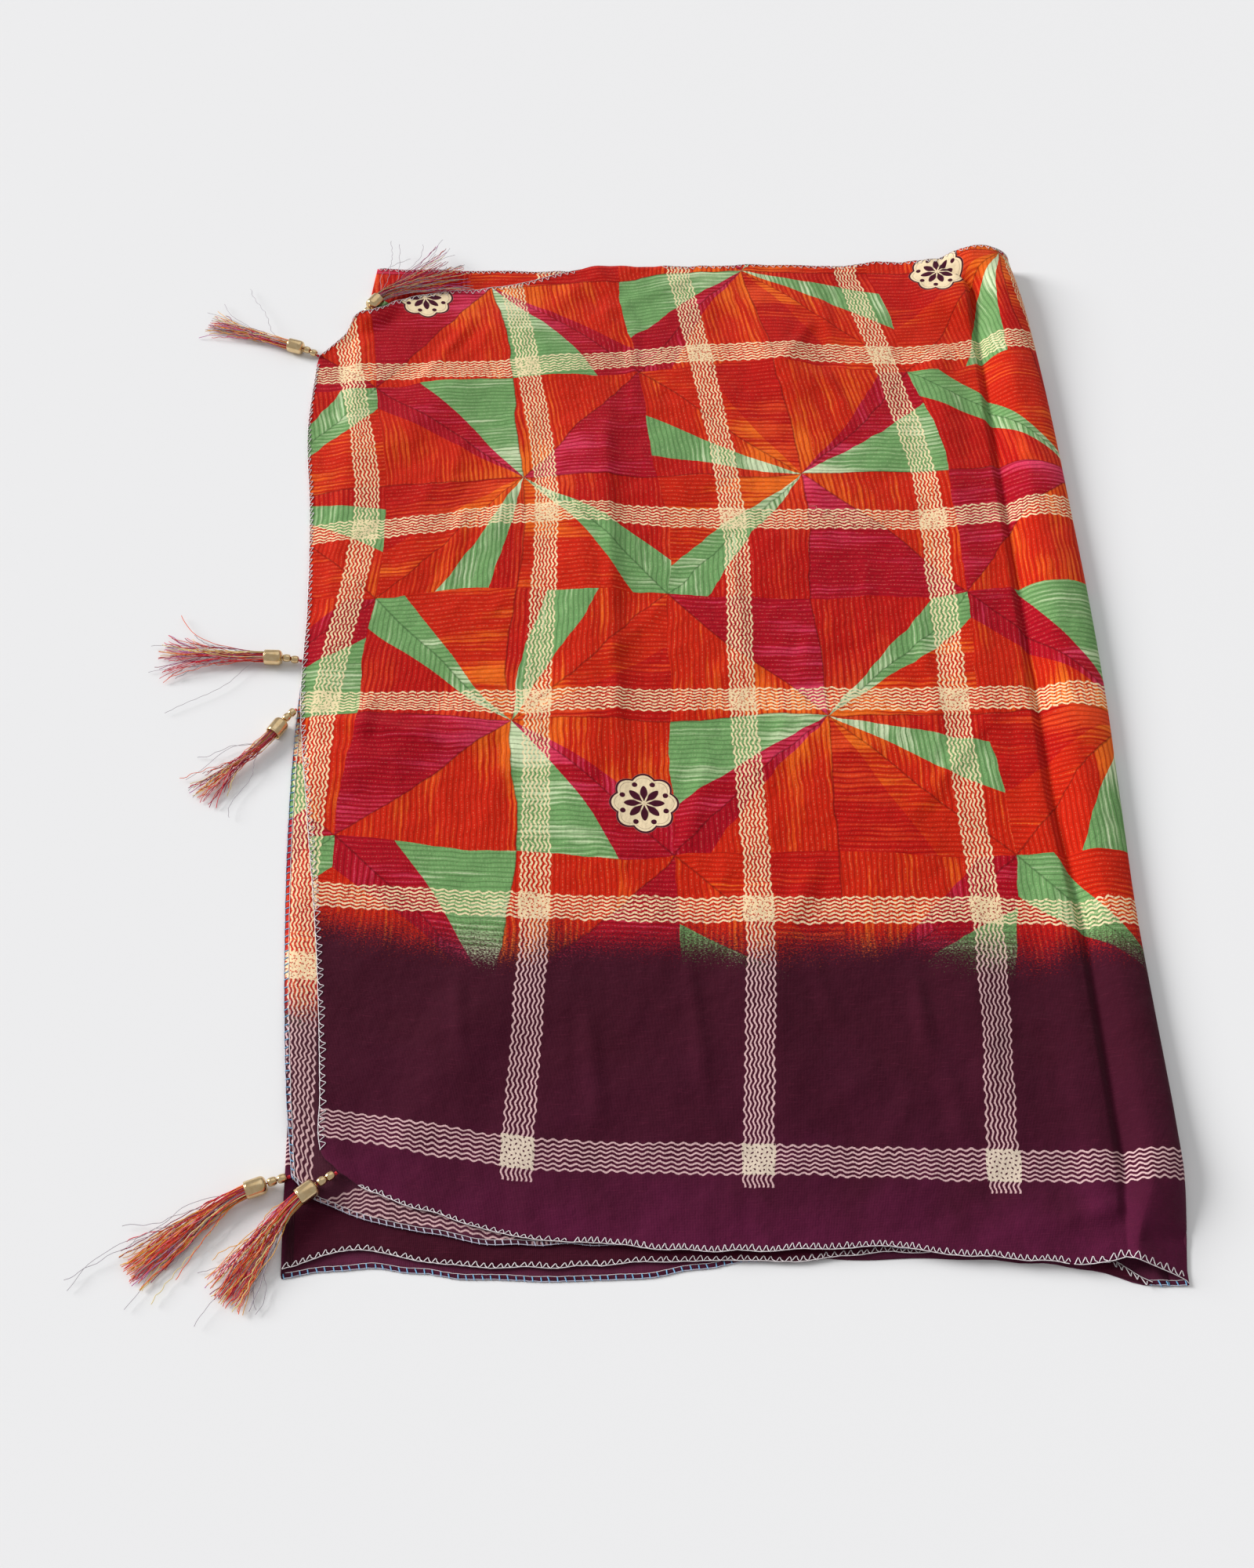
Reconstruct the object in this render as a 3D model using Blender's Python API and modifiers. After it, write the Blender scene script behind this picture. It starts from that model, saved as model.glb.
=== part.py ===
"""A printed wrap scarf of thin cloth, folded in four and lying flat on a table.

The scarf is one long panel with a whipped edge all round and three tassels on each short end.
It is folded in half along its length and in half again, so four layers lie on each other:
the upper layer, the second layer that ends under it, the third, and the lower layer on the table.
The upper and lower layers meet in the big soft fold on the right, which stands open as a tube.
Row frame: X to the right, Y away from the near hem, Z up, the table at Z = 0.
All sizes are in metres.
"""

import math
import random
from collections import namedtuple

import bmesh
import bpy
from mathutils import Matrix, Vector

# Cloth walls and the clearances between pieces that lie on each other
WALL = 0.0012
CLEAR = 0.0003
STEP = WALL + CLEAR

# The air between the layers, which lifts their middle
CROWN = 0.0018
CROWN_LEFT, CROWN_RIGHT = -0.26, 0.21
CROWN_END = 0.43
CROWN_RISE = 0.13

# Bottom of each layer where the stack is whole
THIRD_BOTTOM = STEP
SECOND_BOTTOM = 2 * STEP

# The stretch of the second layer that is its own wall, and where the inner fold ends
SECOND_RIGHT = -0.090
INNER_FOLD_CREST = 0.231
INNER_FOLD_END = 0.242
TROUGH = 0.249

# The outer fold, a soft tube along the right side
CREST_SHARE = 0.50
WAIST_SHARE = 0.46
TROUGH_HEIGHT = 0.0054
FOLD_RIDGE = 0.0012
FOLD_RIDGE_REACH = 0.020
TUBE_FOOT = 0.270
FOOT_END = 0.0015
RISE_STEPS = (0.0, 0.25, 0.5, 0.75, 1.0)
CREST_TURNS = (66, 44, 22, 0)
FOOT_TURNS = (26, 52, 76, 90)
OUTER_FOLD_HEM_X = 0.290

# One row for each section along the scarf, from the near hem to the back
Section = namedtuple("Section", "y upper_left second_left left_fold right_fold tube_height")
SECTIONS = (
    Section(-0.460, -0.240, -0.2690, -0.2770, 0.2860, 0.0215),
    Section(-0.430, -0.242, -0.2730, -0.2795, 0.2905, 0.0205),
    Section(-0.397, -0.247, -0.2770, -0.2815, 0.2935, 0.0175),
    Section(-0.346, -0.262, -0.2860, -0.2845, 0.2945, 0.0145),
    Section(-0.231, -0.278, -0.3000, -0.2890, 0.2940, 0.0135),
    Section(-0.122, -0.296, -0.3090, -0.2920, 0.2975, 0.0140),
    Section(-0.032, -0.310, -0.3120, -0.2940, 0.3010, 0.0150),
    Section(0.060, -0.3145, -0.3110, -0.2950, 0.3020, 0.0160),
    Section(0.160, -0.3230, -0.3090, -0.2960, 0.3010, 0.0165),
    Section(0.250, -0.3340, -0.3060, -0.2965, 0.2995, 0.0180),
    Section(0.320, -0.3345, -0.3030, -0.2965, 0.2970, 0.0200),
    Section(0.400, -0.3200, -0.2980, -0.2950, 0.2920, 0.0230),
    Section(0.455, -0.3100, -0.2900, -0.2910, 0.2850, 0.0250),
)

# One row for each place across the scarf: how far each layer's hem comes forward there
Hem = namedtuple("Hem", "x upper second third lower")
NEAR_HEMS = (
    Hem(-0.300, -0.394, -0.398, -0.4590, -0.4640),
    Hem(-0.277, -0.396, -0.400, -0.4590, -0.4640),
    Hem(-0.262, -0.397, -0.415, -0.4540, -0.4620),
    Hem(-0.247, -0.398, -0.421, -0.4500, -0.4600),
    Hem(-0.227, -0.410, -0.428, -0.4470, -0.4580),
    Hem(-0.191, -0.422, -0.437, -0.4510, -0.4600),
    Hem(-0.141, -0.434, -0.443, -0.4560, -0.4650),
    Hem(-0.091, -0.441, -0.445, -0.4550, -0.4630),
    Hem(-0.033, -0.443, -0.445, -0.4500, -0.4550),
    Hem(0.036, -0.441, -0.443, -0.4460, -0.4490),
    Hem(0.086, -0.439, -0.441, -0.4440, -0.4470),
    Hem(0.134, -0.445, -0.447, -0.4500, -0.4530),
    Hem(0.183, -0.451, -0.453, -0.4560, -0.4580),
    Hem(0.221, -0.455, -0.456, -0.4585, -0.4605),
    Hem(0.240, -0.451, -0.453, -0.4570, -0.4610),
    Hem(0.262, -0.447, -0.453, -0.4570, -0.4680),
    Hem(0.290, -0.466, -0.453, -0.4570, -0.4690),
)
BACK_HEMS = (
    Hem(-0.3350, 0.338, 0.372, 0.4470, 0.4500),
    Hem(-0.3260, 0.350, 0.374, 0.4470, 0.4500),
    Hem(-0.3130, 0.367, 0.377, 0.4470, 0.4500),
    Hem(-0.3000, 0.386, 0.3815, 0.4475, 0.4505),
    Hem(-0.2880, 0.3895, 0.385, 0.4480, 0.4510),
    Hem(-0.2730, 0.4030, 0.390, 0.4485, 0.4515),
    Hem(-0.2540, 0.4120, 0.398, 0.4490, 0.4520),
    Hem(-0.2310, 0.4180, 0.404, 0.4490, 0.4520),
    Hem(-0.1940, 0.4220, 0.411, 0.4480, 0.4515),
    Hem(-0.1490, 0.4320, 0.423, 0.4470, 0.4510),
    Hem(-0.1120, 0.4460, 0.434, 0.4475, 0.4510),
    Hem(-0.0620, 0.4530, 0.442, 0.4480, 0.4515),
    Hem(0.0000, 0.4500, 0.443, 0.4490, 0.4520),
    Hem(0.0750, 0.4490, 0.442, 0.4480, 0.4515),
    Hem(0.1500, 0.4480, 0.441, 0.4470, 0.4505),
    Hem(0.2200, 0.4500, 0.443, 0.4480, 0.4510),
    Hem(0.2600, 0.4560, 0.444, 0.4480, 0.4520),
    Hem(0.2900, 0.4540, 0.444, 0.4480, 0.4520),
)

# Even columns of the cloth between the left fold and the inner fold
COLUMNS = (-0.262, -0.235, -0.200, -0.160, -0.120, -0.0905, -0.045, 0.0, 0.045, 0.090, 0.135, 0.180, 0.212)
NARROWEST_COLUMN = 0.0020
SETTLE_ROUNDS = 8

# Rows of the cloth, as shares of the way from the near hem to the back
UPPER_ROWS = (0.0, 0.010, 0.028, 0.055, 0.09, 0.13, 0.175, 0.22, 0.265, 0.31, 0.355, 0.40, 0.435, 0.467, 0.51, 0.528,
              0.55, 0.595, 0.64, 0.685, 0.73, 0.775, 0.82, 0.865, 0.905, 0.94, 0.968, 0.987, 1.0)
INNER_ROWS = (0.0, 0.028, 0.09, 0.175, 0.265, 0.355, 0.467, 0.55, 0.64, 0.73, 0.82, 0.905, 0.968, 0.987, 1.0)

# Soft ridges of the upper layer, one row each: where the ridge starts and ends, its half width and height
RIDGE_END = 0.3
Ridge = namedtuple("Ridge", "x0 y0 x1 y1 width height")
RIDGES = (
    Ridge(-0.300, -0.050, -0.150, -0.062, 0.016, 0.0040),
    Ridge(-0.290, -0.095, -0.205, -0.080, 0.014, 0.0022),
    Ridge(-0.085, -0.200, -0.098, 0.400, 0.022, 0.0030),
    Ridge(0.050, -0.430, 0.020, -0.150, 0.020, 0.0024),
    Ridge(0.185, -0.400, 0.160, -0.180, 0.020, 0.0026),
    Ridge(0.215, -0.150, 0.205, 0.430, 0.016, 0.0028),
    Ridge(-0.210, 0.405, -0.090, 0.300, 0.022, 0.0032),
    Ridge(-0.290, 0.200, -0.190, 0.330, 0.020, 0.0024),
    Ridge(0.060, 0.440, 0.085, 0.250, 0.022, 0.0028),
    Ridge(-0.200, -0.400, -0.150, -0.250, 0.020, 0.0020),
)

# The upper layer is lifted where a tassel is caught under it
TENT_X, TENT_Y = -0.2965, 0.3880
TENT_INNER, TENT_OUTER = 0.009, 0.026
TENT_HEIGHT = 0.0108

# Where an overhanging layer comes down to the table
DROP_REACH = 0.010
FLOOR_CLEAR = 0.0003
EDGE_OVERHANG = 0.0008
FOLD_OVERHANG = 0.0015
FOLD_INSET = 0.009

# The rounded end of the inner fold, one row a section: distance from its end, fall of its top, rise of its bottom
INNER_FOLD_NOSE = (
    (INNER_FOLD_END - INNER_FOLD_CREST, 0.0, 0.0),
    (0.0030, 0.0, 0.0),
    (0.0008, 0.0008, 0.0006),
    (0.0, 0.0018, 0.0014),
)
TERRACE = 0.0008

# The left fold of the lower layer, a low rounded lip round the edge of the third
LIP_WIDTH = 0.0024
LIP_ROUND = 0.0010
LIP_SIDE = (0.6, 0.25)

# Tassels: a thread tie, two beads and a metal cap on one thread, and strands out of the cap
TIE_RADIUS = 0.0012
TIE_FACETS = (8, 5)
BEAD_RADIUS = 0.0030
BEAD_FACETS = (10, 7)
CAP_RADIUS = 0.0060
CAP_LENGTH = 0.0135
CAP_SHOULDER = ((0.0, 0.60), (0.0010, 0.86), (0.0026, 1.0))
CAP_LIP, CAP_LIP_SHARE = 0.0008, 0.94
CAP_BORE_RADIUS = 0.0050
CAP_BORE_DEPTH = 0.0075
CAP_SIDES = 14
HEAD_RADIUS = 0.0047
HEAD_LENGTH = 0.0055
TIE_CLIMB = 0.004
CAP_CLIMB = 0.015
STRAND_PLACES = (0.07, 0.35, 0.68, 1.0)
STRAND_WIDTHS = (0.40, 0.34, 0.24, 0.14)
STRAND_BEND = 0.35
STRAND_SHORTEST = 0.88
STRAND_LAYER = 0.0040
SEED = 7

# Finishes, as plain colours
Finish = namedtuple("Finish", "colour roughness metallic")
PRINT = Finish((0.62, 0.06, 0.02), 0.85, 0.0)
PRINT_BACK = Finish((0.45, 0.40, 0.22), 0.85, 0.0)
PLUM = Finish((0.07, 0.01, 0.03), 0.85, 0.0)
GOLD = Finish((0.80, 0.56, 0.22), 0.30, 1.0)
THREAD = Finish((0.55, 0.02, 0.04), 0.80, 0.0)
STRANDS = Finish((0.60, 0.10, 0.12), 0.80, 0.0)

# One row for each tassel: headings are degrees round from +X, start is the gap before the tie,
# heights are of the middle of each piece
Tassel = namedtuple(
    "Tassel", "name sheet share start heading bead_height cap_height fan_heading spread length end_height")
TASSELS = (
    Tassel("top_back", "upper", 1.0, 0.0004, 161, 0.0034, 0.0063, 156, 15, 0.080, 0.0010),
    Tassel("top_middle", "upper", 0.528, 0.0004, 178, 0.0034, 0.0063, 177, 18, 0.082, 0.0010),
    Tassel("top_near", "upper", 0.0, 0.0004, 219, 0.0076, 0.0105, 239, 15, 0.074, 0.0010),
    Tassel("under_back", "second", 1.0, 0.0004, 60, 0.0060, 0.0094, 24, 11, 0.082, 0.0070),
    Tassel("under_middle", "second", 0.467, 0.0011, 240, 0.0034, 0.0063, 229, 15, 0.072, 0.0010),
    Tassel("under_near", "second", 0.0, 0.0004, 200, 0.0054, 0.0063, 215, 13, 0.084, 0.0010),
)


def ramp(value):
    return min(max(value, 0.0), 1.0)


def smooth_step(value):
    share = ramp(value)
    return share * share * (3.0 - 2.0 * share)


def read_table(table, key, column, place):
    """The value of a column at a place along the table, on a smooth curve through its rows."""
    keys = [getattr(row, key) for row in table]
    values = [getattr(row, column) for row in table]
    if place <= keys[0]:
        return values[0]
    if place >= keys[-1]:
        return values[-1]
    slopes = [(values[i + 1] - values[i]) / (keys[i + 1] - keys[i]) for i in range(len(keys) - 1)]
    index = max(i for i in range(len(keys) - 1) if keys[i] <= place)
    width = keys[index + 1] - keys[index]
    share = (place - keys[index]) / width
    before = slopes[max(index - 1, 0)]
    after = slopes[min(index + 1, len(slopes) - 1)]
    start_slope = 0.5 * (before + slopes[index]) if before * slopes[index] > 0.0 else 0.0
    end_slope = 0.5 * (after + slopes[index]) if after * slopes[index] > 0.0 else 0.0
    rise = smooth_step(share)
    value = values[index] + (values[index + 1] - values[index]) * rise
    value += width * start_slope * share * (1.0 - share) ** 2
    return value - width * end_slope * share * share * (1.0 - share)


def section(column, y):
    return read_table(SECTIONS, "y", column, y)


def hem_span(layer, x):
    return read_table(NEAR_HEMS, "x", layer, x), read_table(BACK_HEMS, "x", layer, x)


def crown(x, y):
    """The air between the layers lifts their middle a little."""
    across = smooth_step((x - CROWN_LEFT) / CROWN_RISE) * smooth_step((CROWN_RIGHT - x) / CROWN_RISE)
    along = smooth_step((CROWN_END + y) / CROWN_RISE) * smooth_step((CROWN_END - y) / CROWN_RISE)
    return CROWN * across * along


def ridges(x, y):
    """The soft ridges, and the line that the inner fold raises beside the trough."""
    total = FOLD_RIDGE * smooth_step(1.0 - abs(x - INNER_FOLD_CREST) / FOLD_RIDGE_REACH)
    for ridge in RIDGES:
        run = Vector((ridge.x1 - ridge.x0, ridge.y1 - ridge.y0))
        offset = Vector((x - ridge.x0, y - ridge.y0))
        along = offset.dot(run) / run.length_squared
        across = abs(offset.x * run.y - offset.y * run.x) / run.length
        ends = smooth_step(along / RIDGE_END) * smooth_step((1.0 - along) / RIDGE_END)
        total += ridge.height * ends * smooth_step(1.0 - across / (2.0 * ridge.width))
    return total


def second_bottom(x, y):
    """The second layer lies on the third, and comes down to the table past the left fold."""
    drop = ramp((section("left_fold", y) - FOLD_OVERHANG - x) / DROP_REACH)
    return SECOND_BOTTOM - (SECOND_BOTTOM - FLOOR_CLEAR) * drop + crown(x, y)


def upper_bottom(x, y):
    """The upper layer lies on the second, then on the table, and is tented over a caught tassel."""
    on_second = second_bottom(x, y) + STEP
    past_second = ramp((section("second_left", y) - EDGE_OVERHANG - x) / DROP_REACH)
    height = on_second - (on_second - FLOOR_CLEAR) * past_second + ridges(x, y)
    reach = math.hypot(x - TENT_X, y - TENT_Y)
    tent = smooth_step((TENT_OUTER - reach) / (TENT_OUTER - TENT_INNER))
    return height + max(TENT_HEIGHT - height, 0.0) * tent


def settle(layer, place, row_share, hem_x=None):
    """The point where a column of the cloth meets a row of it."""
    x, y = 0.0, 0.0
    for _ in range(SETTLE_ROUNDS):
        near, back = hem_span(layer, x if hem_x is None else hem_x)
        y = near + (back - near) * row_share
        x = place(y)
    return x, y


def spread_columns(first, others):
    """Column places that start at the sheet's own edge and never crowd each other."""
    places = [first]
    for index, place in enumerate(others):
        places.append(max(place, first + (index + 1) * NARROWEST_COLUMN))
    return places


def sheet_places(edge_column, others, y):
    """All column places of a sheet at a section: its edge, those at the edges under it, then the even ones."""
    second = section("second_left", y) - EDGE_OVERHANG
    fold = section("left_fold", y)
    margin = [second, fold - FOLD_OVERHANG - DROP_REACH, fold - FOLD_OVERHANG, fold + FOLD_INSET]
    return spread_columns(section(edge_column, y), margin + list(others))


def sheet_points(layer, edge_column, others, rows, bottom):
    """The upper face of a sheet that lies on the stack."""
    columns = []
    for index in range(len(sheet_places(edge_column, others, 0.0))):
        column = []
        for share in rows:
            x, y = settle(layer, lambda y: sheet_places(edge_column, others, y)[index], share)
            column.append(Vector((x, y, bottom(x, y) + WALL)))
        columns.append(column)
    return columns


def tube_section(y):
    """The outside of the outer fold at a section: from the trough over the crest and down to the table."""
    right = section("right_fold", y)
    height = section("tube_height", y)
    crest = TROUGH + (right - TROUGH) * CREST_SHARE
    waist = height * WAIST_SHARE
    path = []
    for step in RISE_STEPS:
        rise = 0.5 - 0.5 * math.cos(math.pi * step)
        path.append((TROUGH + (crest - TROUGH) * step, TROUGH_HEIGHT + (height - TROUGH_HEIGHT) * rise))
    for angle in CREST_TURNS:
        turn = math.radians(angle)
        path.append((crest + (right - crest) * math.cos(turn), waist + (height - waist) * math.sin(turn)))
    for angle in FOOT_TURNS:
        turn = math.radians(angle)
        path.append((TUBE_FOOT + (right - TUBE_FOOT) * math.cos(turn), waist - waist * math.sin(turn)))
    return path + [(TUBE_FOOT - FOOT_END, 0.0)]


def tube_points():
    """The outside of the outer fold. Past its waist the cloth keeps the hem of its lower side."""
    waist_column = len(RISE_STEPS) + len(CREST_TURNS) - 1
    columns = []
    for index in range(len(tube_section(0.0))):
        hem_x = OUTER_FOLD_HEM_X if index >= waist_column else None
        column = []
        for share in UPPER_ROWS:
            x, y = settle("upper", lambda y: tube_section(y)[index][0], share, hem_x)
            column.append(Vector((x, y, tube_section(y)[index][1])))
        columns.append(column)
    return columns


def at(x):
    return lambda y: x


def from_fold(offset):
    return lambda y: section("left_fold", y) + offset


def core_points():
    """Top and underside of the hidden layers: the third layer's margin, the step up to the second, the inner fold."""
    third_top = THIRD_BOTTOM + WALL
    second_top = SECOND_BOTTOM + WALL
    step_start = SECOND_RIGHT + CLEAR
    profile = [(from_fold(LIP_WIDTH + CLEAR), third_top, THIRD_BOTTOM)]
    profile += [(at(x), third_top, THIRD_BOTTOM) for x in COLUMNS if x < SECOND_RIGHT - STEP]
    profile += [(at(step_start), third_top, THIRD_BOTTOM), (at(step_start + WALL), second_top, THIRD_BOTTOM)]
    profile += [(at(x), second_top, THIRD_BOTTOM) for x in COLUMNS if x > step_start + STEP]
    for back_from_end, fall, rise in INNER_FOLD_NOSE:
        profile.append((at(INNER_FOLD_END - back_from_end), second_top - fall, THIRD_BOTTOM + rise))
    rows = [("third", 0.0, 0.0), ("second", 0.0, -TERRACE), *(("second", share, None) for share in INNER_ROWS),
            ("second", 1.0, TERRACE), ("third", 1.0, 0.0)]
    tops, unders = [], []
    for place, top, under in profile:
        column_top, column_under = [], []
        for layer, share, terrace in rows:
            x, y = settle(layer, place, share)
            height = top if terrace is None else min(top, third_top)
            y += terrace or 0.0
            column_top.append(Vector((x, y, height + crown(x, y))))
            column_under.append(Vector((x, y, under)))
        tops.append(column_top)
        unders.append(column_under)
    return tops, unders


def lower_points():
    """Top and underside of the lower layer, with the rounded lip of the left fold."""
    lip_top = THIRD_BOTTOM + WALL
    profile = [
        (from_fold(0.0), LIP_SIDE[0] * lip_top, LIP_SIDE[1] * lip_top),
        (from_fold(LIP_ROUND), lip_top, 0.0),
        (from_fold(LIP_WIDTH - CLEAR), lip_top, 0.0),
        (from_fold(LIP_WIDTH), WALL, 0.0),
    ]
    profile += [(at(x), WALL, 0.0) for x in COLUMNS + (INNER_FOLD_CREST, TROUGH)]
    profile += [(at(TUBE_FOOT - FOOT_END - CLEAR), WALL, 0.0)]
    tops, unders = [], []
    for place, top, under in profile:
        spots = [settle("lower", place, share) for share in INNER_ROWS]
        tops.append([Vector((x, y, top)) for x, y in spots])
        unders.append([Vector((x, y, under)) for x, y in spots])
    return tops, unders


def sheet_mesh(name, points):
    """An open grid of faces through rows of points."""
    across, along = len(points), len(points[0])
    shape = bmesh.new()
    bmesh.ops.create_grid(shape, x_segments=across - 1, y_segments=along - 1, size=0.5)
    for vert in shape.verts:
        column = round((vert.co.x + 0.5) * (across - 1))
        row = round((vert.co.y + 0.5) * (along - 1))
        vert.co = points[column][row]
    return to_mesh(name, shape)


def slab_mesh(name, top_points, under_points):
    """A closed slab: a top grid and an underside of another section, joined by a rim."""
    across, along = len(top_points), len(top_points[0])
    shape = bmesh.new()
    tops = [[shape.verts.new(point) for point in column] for column in top_points]
    unders = [[shape.verts.new(point) for point in column] for column in under_points]
    for i in range(across - 1):
        for j in range(along - 1):
            shape.faces.new((tops[i][j], tops[i + 1][j], tops[i + 1][j + 1], tops[i][j + 1]))
            shape.faces.new((unders[i][j], unders[i][j + 1], unders[i + 1][j + 1], unders[i + 1][j]))
    rim = [(i, 0) for i in range(across)] + [(across - 1, j) for j in range(1, along)]
    rim += [(i, along - 1) for i in range(across - 2, -1, -1)] + [(0, j) for j in range(along - 2, 0, -1)]
    for here, there in zip(rim, rim[1:] + rim[:1]):
        a, b = tops[here[0]][here[1]], tops[there[0]][there[1]]
        c, d = unders[there[0]][there[1]], unders[here[0]][here[1]]
        shape.faces.new((a, d, c, b))
    return to_mesh(name, shape)


def to_mesh(name, shape):
    mesh = bpy.data.meshes.new(name)
    shape.to_mesh(mesh)
    shape.free()
    return mesh


def add_node(name, mesh, finish, collection):
    """The node's object, smooth shaded, with a material of its own."""
    thing = bpy.data.objects.new(name, mesh)
    collection.objects.link(thing)
    material = bpy.data.materials.new(name)
    material.use_nodes = True
    shader = material.node_tree.nodes["Principled BSDF"]
    shader.inputs["Base Color"].default_value = (*finish.colour, 1.0)
    shader.inputs["Roughness"].default_value = finish.roughness
    shader.inputs["Metallic"].default_value = finish.metallic
    mesh.materials.append(material)
    mesh.shade_smooth()
    mesh.set_sharp_from_angle(angle=math.radians(50))
    return thing


def add_wall(thing):
    solidify = thing.modifiers.new("wall", "SOLIDIFY")
    solidify.thickness = WALL
    solidify.offset = -1.0


def ball_mesh(name, radius, facets):
    shape = bmesh.new()
    bmesh.ops.create_uvsphere(shape, u_segments=facets[0], v_segments=facets[1], radius=radius)
    return to_mesh(name, shape)


def cap_mesh(name):
    """A turned metal cap along +X, closed and domed at its start, bored out at its mouth."""
    profile = [(0.0, 0.0)] + [(x, share * CAP_RADIUS) for x, share in CAP_SHOULDER]
    profile += [
        (CAP_LENGTH - CAP_LIP, CAP_RADIUS), (CAP_LENGTH, CAP_LIP_SHARE * CAP_RADIUS), (CAP_LENGTH, CAP_BORE_RADIUS),
        (CAP_LENGTH - CAP_BORE_DEPTH, CAP_BORE_RADIUS), (CAP_LENGTH - CAP_BORE_DEPTH, 0.0),
    ]
    shape = bmesh.new()
    verts = [shape.verts.new((x, 0.0, radius)) for x, radius in profile]
    edges = [shape.edges.new(pair) for pair in zip(verts, verts[1:])]
    bmesh.ops.spin(shape, geom=verts + edges, axis=(1.0, 0.0, 0.0), cent=(0.0, 0.0, 0.0),
                   steps=CAP_SIDES, angle=math.tau, use_merge=True)
    bmesh.ops.remove_doubles(shape, verts=shape.verts, dist=0.00001)
    bmesh.ops.recalc_face_normals(shape, faces=shape.faces)
    return to_mesh(name, shape)


def strand_spot(tassel, mouth, offset, place):
    """The middle of a strand at a place along it: straight out of the cap, then fanned and falling."""
    along = Vector((math.cos(math.radians(tassel.heading)), math.sin(math.radians(tassel.heading)), 0.0))
    sideways, up = offset.y / HEAD_RADIUS, offset.z / HEAD_RADIUS
    fan = math.radians(tassel.fan_heading + tassel.spread * sideways)
    start = mouth + Vector((-along.y * offset.y, along.x * offset.y, offset.z))
    end = mouth + tassel.length * Vector((math.cos(fan), math.sin(fan), 0.0))
    end.z = tassel.end_height + STRAND_LAYER * 0.5 * (1.0 + up)
    bend = start + STRAND_BEND * tassel.length * along
    return start * (1.0 - place) ** 2 + bend * 2.0 * place * (1.0 - place) + end * place * place


def strands_mesh(name, tassel, mouth, draw):
    """A six-sided head in the cap's bore, whose front is drawn out into three-sided strands."""
    shape = bmesh.new()
    bmesh.ops.create_cone(shape, cap_ends=True, cap_tris=True, segments=6, radius1=HEAD_RADIUS,
                          radius2=HEAD_RADIUS, depth=HEAD_LENGTH)
    to_axis = Matrix.Rotation(math.radians(90), 3, "Y")
    bmesh.ops.rotate(shape, verts=shape.verts, matrix=to_axis)
    bmesh.ops.translate(shape, verts=shape.verts, vec=(-0.5 * HEAD_LENGTH, 0.0, 0.0))
    front = [face for face in shape.faces if face.normal.x > 0.9]
    rims = {edge for face in front for edge in face.edges}
    bmesh.ops.subdivide_edges(shape, edges=list(rims), cuts=1, use_grid_fill=True)
    front = [face for face in shape.faces if face.normal.x > 0.9]
    turn = Matrix.Rotation(math.radians(tassel.heading), 3, "Z")
    offsets = [face.calc_center_median() for face in front]
    reaches = [draw.uniform(STRAND_SHORTEST, 1.0) for _ in front]
    for vert in shape.verts:
        vert.co = mouth + turn @ vert.co
    for face, offset, reach in zip(front, offsets, reaches):
        last_width = 1.0
        for place, width in zip(STRAND_PLACES, STRAND_WIDTHS):
            face = bmesh.ops.extrude_discrete_faces(shape, faces=[face])["faces"][0]
            middle, last_middle = strand_spot(tassel, mouth, offset, reach * place), face.calc_center_median()
            for vert in face.verts:
                vert.co = middle + width / last_width * (vert.co - last_middle)
            last_width = width
    bmesh.ops.recalc_face_normals(shape, faces=shape.faces)
    return to_mesh(name, shape)


def add_tassel(tassel, root, draw, collection):
    """Tie, beads, cap and strands in line from a corner or the middle of the scarf's end."""
    along = Vector((math.cos(math.radians(tassel.heading)), math.sin(math.radians(tassel.heading)), 0.0))

    def spot(reach):
        height = root.z + (tassel.bead_height - root.z) * smooth_step(reach / TIE_CLIMB)
        height += (tassel.cap_height - tassel.bead_height) * smooth_step(reach / CAP_CLIMB)
        return Vector((root.x, root.y, height)) + reach * along

    def next_reach(reach, distance):
        """How far along the next piece lies, when it is this far from the last on a slant."""
        ahead = reach + distance
        for _ in range(SETTLE_ROUNDS):
            ahead = reach + math.sqrt(distance ** 2 - (spot(ahead).z - spot(reach).z) ** 2)
        return ahead

    tie = tassel.start + TIE_RADIUS
    bead_1 = next_reach(tie, TIE_RADIUS + CLEAR + BEAD_RADIUS)
    bead_2 = next_reach(bead_1, 2.0 * BEAD_RADIUS + CLEAR)
    cap = bead_2 + BEAD_RADIUS + CLEAR
    label = "tassel_" + tassel.name
    knot = add_node(label + "_tie", ball_mesh(label + "_tie", TIE_RADIUS, TIE_FACETS), THREAD, collection)
    knot.location = spot(tie)
    for number, reach in ((1, bead_1), (2, bead_2)):
        bead_name = f"{label}_bead_{number}"
        bead = add_node(bead_name, ball_mesh(bead_name, BEAD_RADIUS, BEAD_FACETS), GOLD, collection)
        bead.location = spot(reach)
    metal = add_node(label + "_cap", cap_mesh(label + "_cap"), GOLD, collection)
    metal.location = Vector((root.x, root.y, tassel.cap_height)) + cap * along
    metal.rotation_euler.z = math.radians(tassel.heading)
    mouth = Vector((root.x, root.y, tassel.cap_height)) + (cap + CAP_LENGTH - CLEAR) * along
    add_node(label + "_strands", strands_mesh(label + "_strands", tassel, mouth, draw), STRANDS, collection)


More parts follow.
